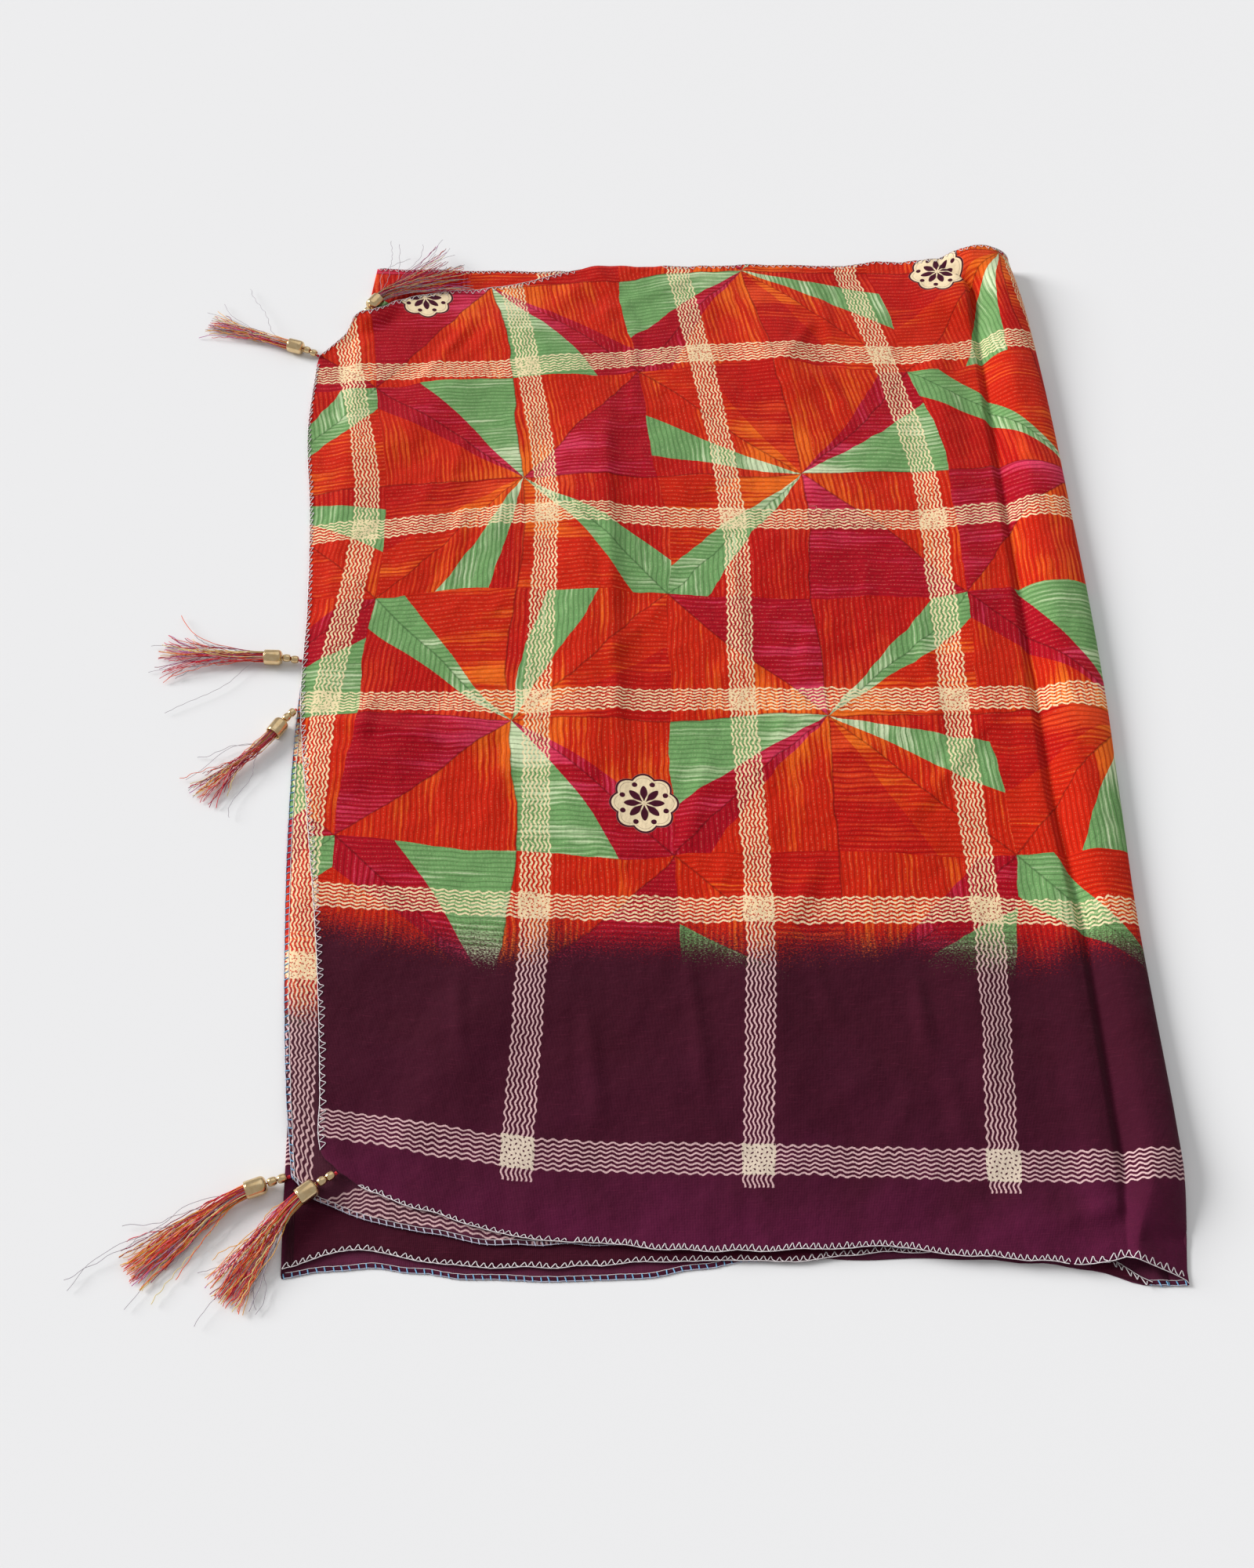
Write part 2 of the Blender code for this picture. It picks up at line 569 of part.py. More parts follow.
def main():
    for thing in list(bpy.data.objects):
        bpy.data.objects.remove(thing, do_unlink=True)
    collection = bpy.data.collections.new("wrap_scarf")
    bpy.context.scene.collection.children.link(collection)

    upper_columns = COLUMNS + (INNER_FOLD_CREST,)
    upper = sheet_points("upper", "upper_left", upper_columns, UPPER_ROWS, upper_bottom) + tube_points()
    second_columns = [x for x in COLUMNS if x <= SECOND_RIGHT]
    second = sheet_points("second", "second_left", second_columns, INNER_ROWS, second_bottom)

    add_wall(add_node("cloth_upper", sheet_mesh("cloth_upper", upper), PRINT, collection))
    add_wall(add_node("cloth_second", sheet_mesh("cloth_second", second), PRINT_BACK, collection))
    add_node("cloth_core", slab_mesh("cloth_core", *core_points()), PLUM, collection)
    add_node("cloth_lower", slab_mesh("cloth_lower", *lower_points()), PLUM, collection)

    edges = {"upper": (upper[0], UPPER_ROWS), "second": (second[0], INNER_ROWS)}
    draw = random.Random(SEED)
    for tassel in TASSELS:
        edge, rows = edges[tassel.sheet]
        root = edge[rows.index(tassel.share)] - Vector((0.0, 0.0, 0.5 * WALL))
        add_tassel(tassel, root, draw, collection)


main()
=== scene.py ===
# %% [markdown]
# # A printed wrap scarf, folded in four
#
# The real thing is one long panel of thin cotton voile, 0.90 m by 2.30 m, with its four edges
# whipped in white thread and three tassels on each short end. It has been folded in half, folded in
# half again and laid on a table, so four layers show at its edges. The solids that carry the size
# and the shape are already made, and this script dresses them: cloth as thin shells, a print that
# is drawn by maths, thread by thread stitching, and gold tassels.

# %% Load the frame
import math
from collections import namedtuple

import bpy
import numpy as np
from mathutils import Matrix, Vector


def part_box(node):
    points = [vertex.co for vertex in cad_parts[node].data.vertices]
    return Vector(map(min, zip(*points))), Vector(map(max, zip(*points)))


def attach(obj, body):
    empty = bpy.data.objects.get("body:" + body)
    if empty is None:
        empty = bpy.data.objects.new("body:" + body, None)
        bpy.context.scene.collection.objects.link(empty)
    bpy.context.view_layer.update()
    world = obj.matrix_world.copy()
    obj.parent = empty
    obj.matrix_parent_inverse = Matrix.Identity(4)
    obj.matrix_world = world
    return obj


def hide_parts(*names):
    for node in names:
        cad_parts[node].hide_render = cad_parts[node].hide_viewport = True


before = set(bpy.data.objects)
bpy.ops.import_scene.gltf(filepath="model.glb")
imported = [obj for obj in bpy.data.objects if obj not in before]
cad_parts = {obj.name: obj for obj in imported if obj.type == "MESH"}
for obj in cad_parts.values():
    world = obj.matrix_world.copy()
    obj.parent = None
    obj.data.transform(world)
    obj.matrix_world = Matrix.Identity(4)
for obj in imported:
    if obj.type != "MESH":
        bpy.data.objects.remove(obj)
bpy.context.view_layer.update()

# %% [markdown]
# The camera comes first, because it decides which details are worth modelling. The photograph
# looks down at the table from the near side. A camera was fitted to the corners of the print's
# checks, which are all the same size, and that gave its height, its tilt and its lens.

# %% Camera
CAMERA_SPOT = (-0.062, -0.740, 1.0208)
CAMERA_TILT = math.radians(32)
CAMERA_LENS = 37.45

scene = bpy.context.scene
bpy.ops.object.camera_add(location=CAMERA_SPOT, rotation=(CAMERA_TILT, 0.0, 0.0))
camera = bpy.context.object
camera.name = "photo_camera"
camera.data.lens = CAMERA_LENS
camera.data.sensor_width = 36.0
camera.data.clip_start = 0.05
scene.camera = camera
scene.view_settings.view_transform = "Standard"
print("camera:", camera.name, "lens", CAMERA_LENS)

# %% [markdown]
# The room is a plain pale floor and soft light. A broad light from the upper left gives the gold
# its highlights and the cloth its faint shadows, and an even sky fills the rest, as in a light tent.

# %% Floor and light
FLOOR_SIDE = 8.0
FLOOR_DROP = 0.0002
SKY_STRENGTH = 0.42


def paint(red, green, blue):
    """A colour given as it looks on screen, in steps of 0 to 255, turned to light values."""
    shares = np.array((red, green, blue)) / 255.0
    light = np.where(shares <= 0.04045, shares / 12.92, ((shares + 0.055) / 1.055) ** 2.4)
    return (*light.tolist(), 1.0)


def principled(name, roughness, specular=0.5, metallic=0.0):
    """A new material, its node tree and its shader."""
    material = bpy.data.materials.new(name)
    material.use_nodes = True
    shader = material.node_tree.nodes["Principled BSDF"]
    for socket, value in (("Roughness", roughness), ("Specular IOR Level", specular), ("Metallic", metallic)):
        shader.inputs[socket].default_value = value
    return material, material.node_tree, shader


def deselect_all():
    bpy.ops.object.select_all(action="DESELECT")


def soft_light(name, spot, spread, strength):
    """Light from far off, as wide as the given angle, so that the floor is lit evenly."""
    bpy.ops.object.light_add(type="SUN", location=spot)
    lamp = bpy.context.object
    lamp.name = name
    lamp.data.angle = math.radians(spread)
    lamp.data.energy = strength
    lamp.rotation_euler = (-Vector(spot)).to_track_quat("-Z", "Y").to_euler()


deselect_all()
bpy.ops.mesh.primitive_plane_add(size=FLOOR_SIDE, location=(0.0, 0.0, -FLOOR_DROP))
floor = bpy.context.object
floor.name = "floor"
floor_paint, _, floor_shader = principled("floor_paper", 0.9, 0.1)
floor_shader.inputs["Base Color"].default_value = paint(236, 236, 237)
floor.data.materials.append(floor_paint)

soft_light("key_light", (-2.4, 0.9, 1.15), 27.0, 3.78)
soft_light("fill_light", (0.6, 1.6, 2.6), 60.0, 0.35)
sky = bpy.data.worlds.new("light_tent")
sky.use_nodes = True
sky_light = sky.node_tree.nodes["Background"]
sky_light.inputs["Color"].default_value = (1.0, 1.0, 1.0, 1.0)
sky_light.inputs["Strength"].default_value = SKY_STRENGTH
scene.world = sky
print("lamps:", [thing.name for thing in bpy.data.objects if thing.type == "LIGHT"])

# %% [markdown]
# The folded shape is a short story told by two tables. Each row of the first is a section across
# the scarf at one place along it: where the upper layer ends on the left, where the second layer
# ends, where the left fold lies, and how far out and how high the big soft fold on the right
# stands. They are the sizes of the solids underneath, in metres.

# %% Sections across the scarf
SECTIONS = np.array((
    # y, upper_left, second_left, left_fold, right_fold, tube_height
    (-0.460, -0.2400, -0.2690, -0.2770, 0.2860, 0.0215),
    (-0.430, -0.2420, -0.2730, -0.2795, 0.2905, 0.0205),
    (-0.397, -0.2470, -0.2770, -0.2815, 0.2935, 0.0175),
    (-0.389, -0.2565, -0.2784, -0.2820, 0.2937, 0.0170),
    (-0.378, -0.2610, -0.2804, -0.2826, 0.2939, 0.0164),
    (-0.346, -0.2636, -0.2860, -0.2845, 0.2945, 0.0145),
    (-0.231, -0.2780, -0.3000, -0.2890, 0.2940, 0.0135),
    (-0.122, -0.2960, -0.3090, -0.2920, 0.2975, 0.0140),
    (-0.032, -0.3100, -0.3120, -0.2940, 0.3010, 0.0150),
    (0.060, -0.3145, -0.3110, -0.2950, 0.3020, 0.0160),
    (0.160, -0.3230, -0.3090, -0.2960, 0.3010, 0.0165),
    (0.250, -0.3340, -0.3060, -0.2965, 0.2995, 0.0180),
    (0.320, -0.3345, -0.3030, -0.2965, 0.2970, 0.0200),
    (0.400, -0.3200, -0.2980, -0.2950, 0.2920, 0.0230),
    (0.455, -0.3100, -0.2900, -0.2910, 0.2850, 0.0250),
))
SECTION_NAMES = ("upper_left", "second_left", "left_fold", "right_fold", "tube_height")


def curve_through(keys, values, at):
    """Values on a smooth curve through a table's rows, level past its ends."""
    at = np.clip(at, keys[0], keys[-1])
    slopes = np.diff(values) / np.diff(keys)
    index = np.clip(np.searchsorted(keys, at, side="right") - 1, 0, len(slopes) - 1)
    width = keys[index + 1] - keys[index]
    share = (at - keys[index]) / width
    before, here, after = (slopes[np.clip(index + step, 0, len(slopes) - 1)] for step in (-1, 0, 1))
    start = np.where(before * here > 0.0, (before + here) / 2.0, 0.0)
    end = np.where(after * here > 0.0, (after + here) / 2.0, 0.0)
    value = values[index] + (values[index + 1] - values[index]) * share ** 2 * (3.0 - 2.0 * share)
    return value + width * (start * share * (1.0 - share) ** 2 - end * share ** 2 * (1.0 - share))


def section(name, y):
    return curve_through(SECTIONS[:, 0], SECTIONS[:, 1 + SECTION_NAMES.index(name)], y)


print("the upper layer ends at", section("upper_left", np.array((-0.4, 0.0, 0.4))).round(4))

# %% [markdown]
# The second pair of tables walks across the scarf and says how far each layer's hem comes forward
# at the near side, and how far it reaches at the back. The hems are not quite on top of each
# other, which is what makes a folded cloth look like cloth.

# %% Hems of the four layers
NEAR_HEMS = np.array((
    # x, upper, second, third, lower
    (-0.300, -0.3940, -0.3980, -0.4590, -0.4640),
    (-0.277, -0.3960, -0.4000, -0.4590, -0.4640),
    (-0.262, -0.3970, -0.4150, -0.4540, -0.4620),
    (-0.247, -0.3980, -0.4210, -0.4500, -0.4600),
    (-0.227, -0.4100, -0.4280, -0.4470, -0.4580),
    (-0.191, -0.4232, -0.4370, -0.4540, -0.4612),
    (-0.178, -0.4266, -0.4385, -0.4562, -0.4629),
    (-0.140, -0.4385, -0.4446, -0.4580, -0.4655),
    (-0.101, -0.4425, -0.4440, -0.4579, -0.4655),
    (-0.062, -0.4457, -0.4450, -0.4555, -0.4650),
    (-0.023, -0.4486, -0.4472, -0.4537, -0.4594),
    (0.016, -0.4488, -0.4475, -0.4542, -0.4535),
    (0.054, -0.4478, -0.4465, -0.4532, -0.4510),
    (0.093, -0.4460, -0.4448, -0.4488, -0.4528),
    (0.132, -0.4500, -0.4486, -0.4486, -0.4515),
    (0.171, -0.4532, -0.4515, -0.4515, -0.4533),
    (0.210, -0.4561, -0.4540, -0.4540, -0.4562),
    (0.221, -0.4570, -0.4545, -0.4545, -0.4580),
    (0.238, -0.4562, -0.4545, -0.4545, -0.4620),
    (0.248, -0.4532, -0.4545, -0.4545, -0.4650),
    (0.255, -0.4556, -0.4545, -0.4545, -0.4670),
    (0.265, -0.4590, -0.4550, -0.4570, -0.4682),
    (0.275, -0.4626, -0.4550, -0.4570, -0.4688),
    (0.285, -0.4668, -0.4550, -0.4570, -0.4690),
    (0.290, -0.4690, -0.4550, -0.4570, -0.4690),
))
BACK_HEMS = np.array((
    # x, upper, second, third, lower
    (-0.3350, 0.3380, 0.3720, 0.4535, 0.4530),
    (-0.3260, 0.3500, 0.3740, 0.4535, 0.4530),
    (-0.3130, 0.3670, 0.3770, 0.4535, 0.4530),
    (-0.3000, 0.3860, 0.3815, 0.4535, 0.4530),
    (-0.2880, 0.3895, 0.3850, 0.4535, 0.4530),
    (-0.2730, 0.4030, 0.3900, 0.4530, 0.4528),
    (-0.2540, 0.4120, 0.3980, 0.4522, 0.4526),
    (-0.2310, 0.4180, 0.4040, 0.4516, 0.4520),
    (-0.1940, 0.4220, 0.4110, 0.4506, 0.4515),
    (-0.1490, 0.4320, 0.4230, 0.4498, 0.4510),
    (-0.1120, 0.4470, 0.4340, 0.4498, 0.4510),
    (-0.0900, 0.4516, 0.4390, 0.4495, 0.4510),
    (-0.0480, 0.4520, 0.4425, 0.4480, 0.4515),
    (0.0100, 0.4527, 0.4430, 0.4490, 0.4520),
    (0.0670, 0.4549, 0.4420, 0.4480, 0.4515),
    (0.1240, 0.4522, 0.4410, 0.4470, 0.4505),
    (0.1740, 0.4583, 0.4425, 0.4475, 0.4508),
    (0.2100, 0.4570, 0.4430, 0.4480, 0.4510),
    (0.2390, 0.4570, 0.4430, 0.4480, 0.4515),
    (0.2590, 0.4600, 0.4440, 0.4480, 0.4520),
    (0.2760, 0.4570, 0.4440, 0.4480, 0.4520),
    (0.2900, 0.4540, 0.4440, 0.4480, 0.4520),
))
LAYERS = ("upper", "second", "third", "lower")


def hem_span(layer, x):
    column = 1 + LAYERS.index(layer)
    return (curve_through(NEAR_HEMS[:, 0], NEAR_HEMS[:, column], x),
            curve_through(BACK_HEMS[:, 0], BACK_HEMS[:, column], x))


print("near hem of the upper layer in the middle:", float(hem_span("upper", np.array(0.0))[0]))

# %% [markdown]
# Cloth lying on cloth is nearly flat, but never quite. Air lifts the middle of the stack, soft
# ridges run where it was folded before, and sharper little creases cross the border. Each ridge is
# one row: where it starts and ends, how wide it is and how high. They could come from a cloth
# simulation, but these are the few that the photograph shows, so they are placed one by one.

# %% The lie of the cloth
WALL = 0.0012
CLEAR = 0.0003
STEP = WALL + CLEAR
THIRD_TOP = STEP + WALL
SECOND_BOTTOM = 2.0 * STEP
VOILE = 0.0005

CROWN = 0.0018
CROWN_LEFT, CROWN_RIGHT, CROWN_END, CROWN_RISE = -0.26, 0.21, 0.43, 0.13
DROP_REACH = 0.010
FLOOR_CLEAR = 0.0003
EDGE_OVERHANG = 0.0008
FOLD_OVERHANG = 0.0015
TENT_X, TENT_Y, TENT_INNER, TENT_OUTER, TENT_HEIGHT = -0.2965, 0.3880, 0.009, 0.026, 0.0108
FOLD_CREST, FOLD_RIDGE, FOLD_RIDGE_REACH = 0.2415, 0.0024, 0.022

RIDGES = np.array((
    # x0, y0, x1, y1, half width, height
    (-0.300, -0.050, -0.150, -0.062, 0.016, 0.0040),
    (-0.290, -0.095, -0.205, -0.080, 0.014, 0.0022),
    (-0.085, -0.200, -0.098, 0.400, 0.022, 0.0030),
    (0.050, -0.430, 0.020, -0.150, 0.020, 0.0024),
    (0.185, -0.400, 0.160, -0.180, 0.020, 0.0026),
    (0.215, -0.150, 0.205, 0.430, 0.016, 0.0028),
    (-0.210, 0.405, -0.090, 0.300, 0.022, 0.0032),
    (-0.290, 0.200, -0.190, 0.330, 0.020, 0.0024),
    (0.060, 0.440, 0.085, 0.250, 0.022, 0.0028),
    (-0.200, -0.400, -0.150, -0.250, 0.020, 0.0020),
    (0.232, 0.520, 0.234, 0.360, 0.024, 0.0052),
))
CREASES = np.array((
    # x0, y0, x1, y1, half width, height
    (-0.022, -0.235, -0.008, -0.365, 0.0040, 0.0010),
    (0.135, -0.245, 0.137, -0.335, 0.0040, 0.0009),
    (-0.083, 0.330, -0.066, -0.150, 0.0050, 0.0011),
    (-0.312, -0.047, -0.190, -0.070, 0.0045, 0.0018),
    (-0.300, -0.075, -0.225, -0.088, 0.0040, 0.0010),
    (0.190, -0.435, 0.272, -0.415, 0.0050, 0.0012),
    (0.062, -0.230, 0.078, -0.300, 0.0040, 0.0007),
    (-0.180, -0.250, -0.170, -0.330, 0.0040, 0.0007),
    (-0.250, 0.290, -0.190, 0.395, 0.0050, 0.0012),
    (0.110, 0.430, 0.120, 0.330, 0.0050, 0.0009),
    (0.020, 0.120, 0.032, -0.020, 0.0050, 0.0008),
    (0.165, 0.080, 0.172, -0.090, 0.0050, 0.0008),
    (-0.205, 0.060, -0.195, 0.180, 0.0050, 0.0008),
))
RIDGE_END = 0.3
RIDGE_SHARE, CREASE_SHARE = 1.4, 1.9
RIPPLE_HEIGHT = 0.00035
RIPPLES = (
    # how fast each wave runs across and along, and where it starts
    (91.0, 23.0, 0.4), (37.0, 71.0, 1.9), (118.0, -64.0, 2.6), (-52.0, 133.0, 0.9),
)
SMALL_CREASES = 34

small = np.random.default_rng(5)
spots = small.uniform((-0.29, -0.42), (0.23, 0.42), (SMALL_CREASES, 2))
leans = small.normal(math.pi / 2.0, 0.55, SMALL_CREASES)
lengths = small.uniform(0.05, 0.17, SMALL_CREASES)[:, None]
far_ends = spots + lengths * np.stack((np.cos(leans), np.sin(leans)), axis=-1)
widths = small.uniform(0.0036, 0.0070, SMALL_CREASES)
rises = small.uniform(0.0004, 0.0010, SMALL_CREASES)
CREASES = np.concatenate((CREASES, np.c_[spots, far_ends, widths, rises]))


def smooth_step(value):
    share = np.clip(value, 0.0, 1.0)
    return share * share * (3.0 - 2.0 * share)


def raised(rows, x, y):
    """The height that a table of soft ridges gives at each place."""
    total = np.zeros_like(x)
    for x0, y0, x1, y1, width, height in rows:
        run_x, run_y = x1 - x0, y1 - y0
        length = math.hypot(run_x, run_y)
        along = ((x - x0) * run_x + (y - y0) * run_y) / length ** 2
        across = np.abs((x - x0) * run_y - (y - y0) * run_x) / length
        ends = smooth_step(along / RIDGE_END) * smooth_step((1.0 - along) / RIDGE_END)
        total += height * ends * smooth_step(1.0 - across / (2.0 * width))
    return total


def crown(x, y):
    across = smooth_step((x - CROWN_LEFT) / CROWN_RISE) * smooth_step((CROWN_RIGHT - x) / CROWN_RISE)
    along = smooth_step((CROWN_END + y) / CROWN_RISE) * smooth_step((CROWN_END - y) / CROWN_RISE)
    return CROWN * across * along


def second_bottom(x, y):
    drop = np.clip((section("left_fold", y) - FOLD_OVERHANG - x) / DROP_REACH, 0.0, 1.0)
    return SECOND_BOTTOM - (SECOND_BOTTOM - FLOOR_CLEAR) * drop + crown(x, y)


def ripple(x, y):
    """Slight unevenness that thin cloth keeps everywhere, from a few crossing waves."""
    waves = [np.sin(a * x + b * y + c + 1.5 * np.sin(0.4 * b * x - 0.3 * a * y)) for a, b, c in RIPPLES]
    return sum(waves) / len(RIPPLES)


def upper_top(x, y):
    """The upper layer lies on the second, then on the table, and is tented over a caught tassel."""
    on_second = second_bottom(x, y) + STEP
    past = np.clip((section("second_left", y) - EDGE_OVERHANG - x) / DROP_REACH, 0.0, 1.0)
    height = on_second - (on_second - FLOOR_CLEAR) * past + RIDGE_SHARE * raised(RIDGES, x, y)
    height += FOLD_RIDGE * smooth_step(1.0 - np.abs(x - FOLD_CREST) / FOLD_RIDGE_REACH)
    reach = np.hypot(x - TENT_X, y - TENT_Y)
    tent = smooth_step((TENT_OUTER - reach) / (TENT_OUTER - TENT_INNER))
    height += np.maximum(TENT_HEIGHT - height, 0.0) * tent
    return height + WALL + CREASE_SHARE * raised(CREASES, x, y) + RIPPLE_HEIGHT * (1.0 + ripple(x, y))


print("ridges:", len(RIDGES), "creases:", len(CREASES))

# %% [markdown]
# The print has to bend with the cloth. From them each point of the cloth gets its place on the
# flat print, in metres, and that pair of numbers becomes the UV map.

# %% Where the printed checks lie
CHECK_WIDTH, CHECK_HEIGHT = 0.158, 0.181
DOWN_BANDS = np.array((
    # y, first, second, third, fourth band
    (-0.470, -0.2930, -0.1350, 0.0200, 0.1770),
    (-0.386, -0.2920, -0.1326, 0.0225, 0.1795),
    (-0.208, -0.2910, -0.1266, 0.0304, 0.1895),
    (-0.032, -0.2906, -0.1296, 0.0255, 0.1865),
    (0.148, -0.2750, -0.1276, 0.0245, 0.1875),
    (0.330, -0.3045, -0.1495, 0.0026, 0.1626),
    (0.440, -0.3240, -0.1690, -0.0150, 0.1370),
))
ACROSS_BANDS = np.array((
    # x, near band, second, third, fourth, back band
    (-0.330, -0.3560, -0.1940, -0.0310, 0.1340, 0.3170),
    (-0.250, -0.3660, -0.1990, -0.0335, 0.1400, 0.3180),
    (-0.130, -0.3851, -0.2072, -0.0333, 0.1556, 0.3216),
    (0.025, -0.3901, -0.2112, -0.0313, 0.1476, 0.3405),
    (0.187, -0.3941, -0.2102, -0.0303, 0.1476, 0.3375),
    (0.249, -0.3950, -0.2135, -0.0300, 0.1560, 0.3450),
))


def place_between(lines, place, first, spacing):
    """How far a place is along a row of lines that the print has at an even spacing."""
    value = spacing * first + np.minimum(place - lines[0], 0.0)
    for left, right in zip(lines, lines[1:]):
        value = value + spacing * np.clip((place - left) / (right - left), 0.0, 1.0)
    return value + np.maximum(place - lines[-1], 0.0)


def print_place(x, y):
    down = [curve_through(DOWN_BANDS[:, 0], band, y) for band in DOWN_BANDS[:, 1:].T]
    across = [curve_through(ACROSS_BANDS[:, 0], band, x) for band in ACROSS_BANDS[:, 1:].T]
    places = (place_between(down, x, -2, CHECK_WIDTH), place_between(across, y, 0, CHECK_HEIGHT))
    return np.stack(places, axis=-1)


print("checks:", CHECK_WIDTH, "by", CHECK_HEIGHT, "m")

# %% [markdown]
# The upper cloth is one sheet: it starts at the cut end on the left, crosses the stack, sinks into
# the trough, climbs over the big soft fold and turns down to the table. It is worked out as a
# lattice of columns and rows. A grid primitive with as many squares then takes the lattice's
# points, and Solidify gives it the thickness of voile.

# %% The upper cloth's lattice
TROUGH, TROUGH_HEIGHT = 0.249, 0.0036
TROUGH_LIFT, TROUGH_LIFT_START, TROUGH_LIFT_RUN = 0.0078, 0.395, 0.055
TROUGH_LEAN, TROUGH_LEAN_START, TROUGH_LEAN_RUN = 0.0260, 0.420, 0.034
TROUGH_OUT, TROUGH_OUT_START, TROUGH_OUT_RUN = 0.0078, -0.100, 0.150
MOUTH_START, MOUTH_RUN, MOUTH_LIFT, MOUTH_HEIGHT, MOUTH_CREST = -0.385, 0.070, 0.0060, 0.0130, 0.14
MOUTH_FLATTEN = 0.75
PINCH_Y, PINCH_REACH, PINCH = -0.4400, 0.0070, 0.0016
CREST_SHARE, WAIST_SHARE = 0.50, 0.46
TUBE_FOOT, FOOT_END, OUTER_FOLD_HEM_X = 0.270, 0.0015, 0.290
UPPER_COLUMNS, RISE_COLUMNS, CREST_COLUMNS, FOOT_COLUMNS = 158, 12, 14, 10
UPPER_ROWS = 236
CLOSER_FROM, CLOSER_AT = 0.90, 0.965
SETTLE_ROUNDS = 8
HEM_ZONE, HEM_SWING, HEM_WAVE, HEM_DRIFT = 0.012, 0.0006, 0.047, 31.0
RISE_SHIFT = 0.02

Lattice = namedtuple("Lattice", "points prints")


def hem_ripple(shares, along):
    """Whipped edges pucker a little between the stitches."""
    near_edge = np.clip(1.0 - np.minimum(shares, 1.0 - shares) / HEM_ZONE, 0.0, 1.0)
    wave = np.sin(along * 2.0 * math.pi / HEM_WAVE + 2.0 * np.sin(along * HEM_DRIFT))
    return HEM_SWING * near_edge * wave


def upper_lattice():
    rows = np.linspace(0.0, 1.0, UPPER_ROWS)[None, :]
    even = np.linspace(0.0, 1.0, UPPER_COLUMNS)[:, None]
    flat_share = np.interp(even, (0.0, CLOSER_FROM, 1.0), (0.0, CLOSER_AT, 1.0))
    rise = np.linspace(0.0, 1.0, RISE_COLUMNS + 1)[1:, None]
    crest_turn = np.linspace(math.pi / 2.0, 0.0, CREST_COLUMNS + 1)[1:, None]
    foot_turn = np.linspace(0.0, math.pi / 2.0, FOOT_COLUMNS + 1)[1:, None]
    a, b, c = np.cumsum((UPPER_COLUMNS, RISE_COLUMNS, CREST_COLUMNS))
    y = np.zeros((c + FOOT_COLUMNS + 1, UPPER_ROWS))
    columns = np.arange(len(y))[:, None]

    def across_and_up(y):
        near = y[:a]
        left = section("upper_left", near)
        by_mouth = smooth_step((MOUTH_START - y) / MOUTH_RUN)
        trough = TROUGH_HEIGHT + TROUGH_LIFT * smooth_step((y - TROUGH_LIFT_START) / TROUGH_LIFT_RUN)
        trough = trough + MOUTH_LIFT * by_mouth
        trough_x = TROUGH - TROUGH_LEAN * smooth_step((y - TROUGH_LEAN_START) / TROUGH_LEAN_RUN)
        out = TROUGH_OUT * smooth_step((TROUGH_OUT_START - y) / TROUGH_OUT_RUN)
        trough_x = trough_x + out * (1.0 - by_mouth)
        x_flat = left + (trough_x[:a] - left) * flat_share
        fold_crest = trough_x[:a] - (TROUGH - FOLD_CREST)
        past_crest = smooth_step((x_flat - fold_crest) / (TROUGH - FOLD_CREST))
        z_flat = upper_top(np.minimum(x_flat, fold_crest), near)
        z_flat = z_flat + (trough[:a] - z_flat) * past_crest
        right, height = section("right_fold", y), section("tube_height", y)
        height = height + (MOUTH_HEIGHT - height) * by_mouth
        crest = trough_x + (right - trough_x) * (CREST_SHARE + (MOUTH_CREST - CREST_SHARE) * by_mouth)
        waist = height * WAIST_SHARE * (1.0 - MOUTH_FLATTEN * by_mouth)
        x_rise = trough_x[a:b] + (crest[a:b] - trough_x[a:b]) * rise
        z_rise = trough[a:b] + (height[a:b] - trough[a:b]) * np.sin(0.5 * math.pi * rise)
        x_crest = crest[b:c] + (right[b:c] - crest[b:c]) * np.cos(crest_turn)
        z_crest = np.sin(crest_turn) + (1.0 - np.cos(crest_turn) - np.sin(crest_turn)) * by_mouth[b:c]
        z_crest = waist[b:c] + (height[b:c] - waist[b:c]) * z_crest
        z_crest = z_crest - PINCH * smooth_step(1.0 - np.abs(y[b:c] - PINCH_Y) / PINCH_REACH)
        x_foot = TUBE_FOOT + (right[c:-1] - TUBE_FOOT) * np.cos(foot_turn)
        z_foot = waist[c:-1] - waist[c:-1] * np.sin(foot_turn)
        x_end, z_end = np.full_like(y[-1:], TUBE_FOOT - FOOT_END), np.zeros_like(y[-1:])
        return (np.concatenate((x_flat, x_rise, x_crest, x_foot, x_end)),
                np.concatenate((z_flat, z_rise, z_crest, z_foot, z_end)))

    for _ in range(SETTLE_ROUNDS):
        x, z = across_and_up(y)
        near, back = hem_span("upper", np.where(columns >= c, OUTER_FOLD_HEM_X, x))
        y = near + (back - near) * rows
    x, z = across_and_up(y)
    y = y + hem_ripple(rows, x)
    z = z + np.where(columns < a, np.abs(hem_ripple(rows, x + RISE_SHIFT)), 0.0)
    points = np.stack((x, y, z), axis=-1)
    prints = print_place(np.minimum(x, TROUGH + TROUGH_OUT), y)
    steps = np.linalg.norm(np.diff(points[a - 1:], axis=0), axis=-1)
    prints[a:, :, 0] = prints[a - 1, :, 0] + np.cumsum(steps, axis=0)
    return Lattice(points, {"print": prints})


upper = upper_lattice()
print("upper cloth:", upper.points.shape[:2], "points")

# %% [markdown]
# Under it lies the rest of the same cloth, also one sheet: the lower layer on the table, the left
# fold, the third layer, the tight inner fold on the right, and the second layer, whose wrong side
# shows along the left. Most of it is hidden, but its folded edges are what the eye follows along
# the hems, so it is folded here as it really is.

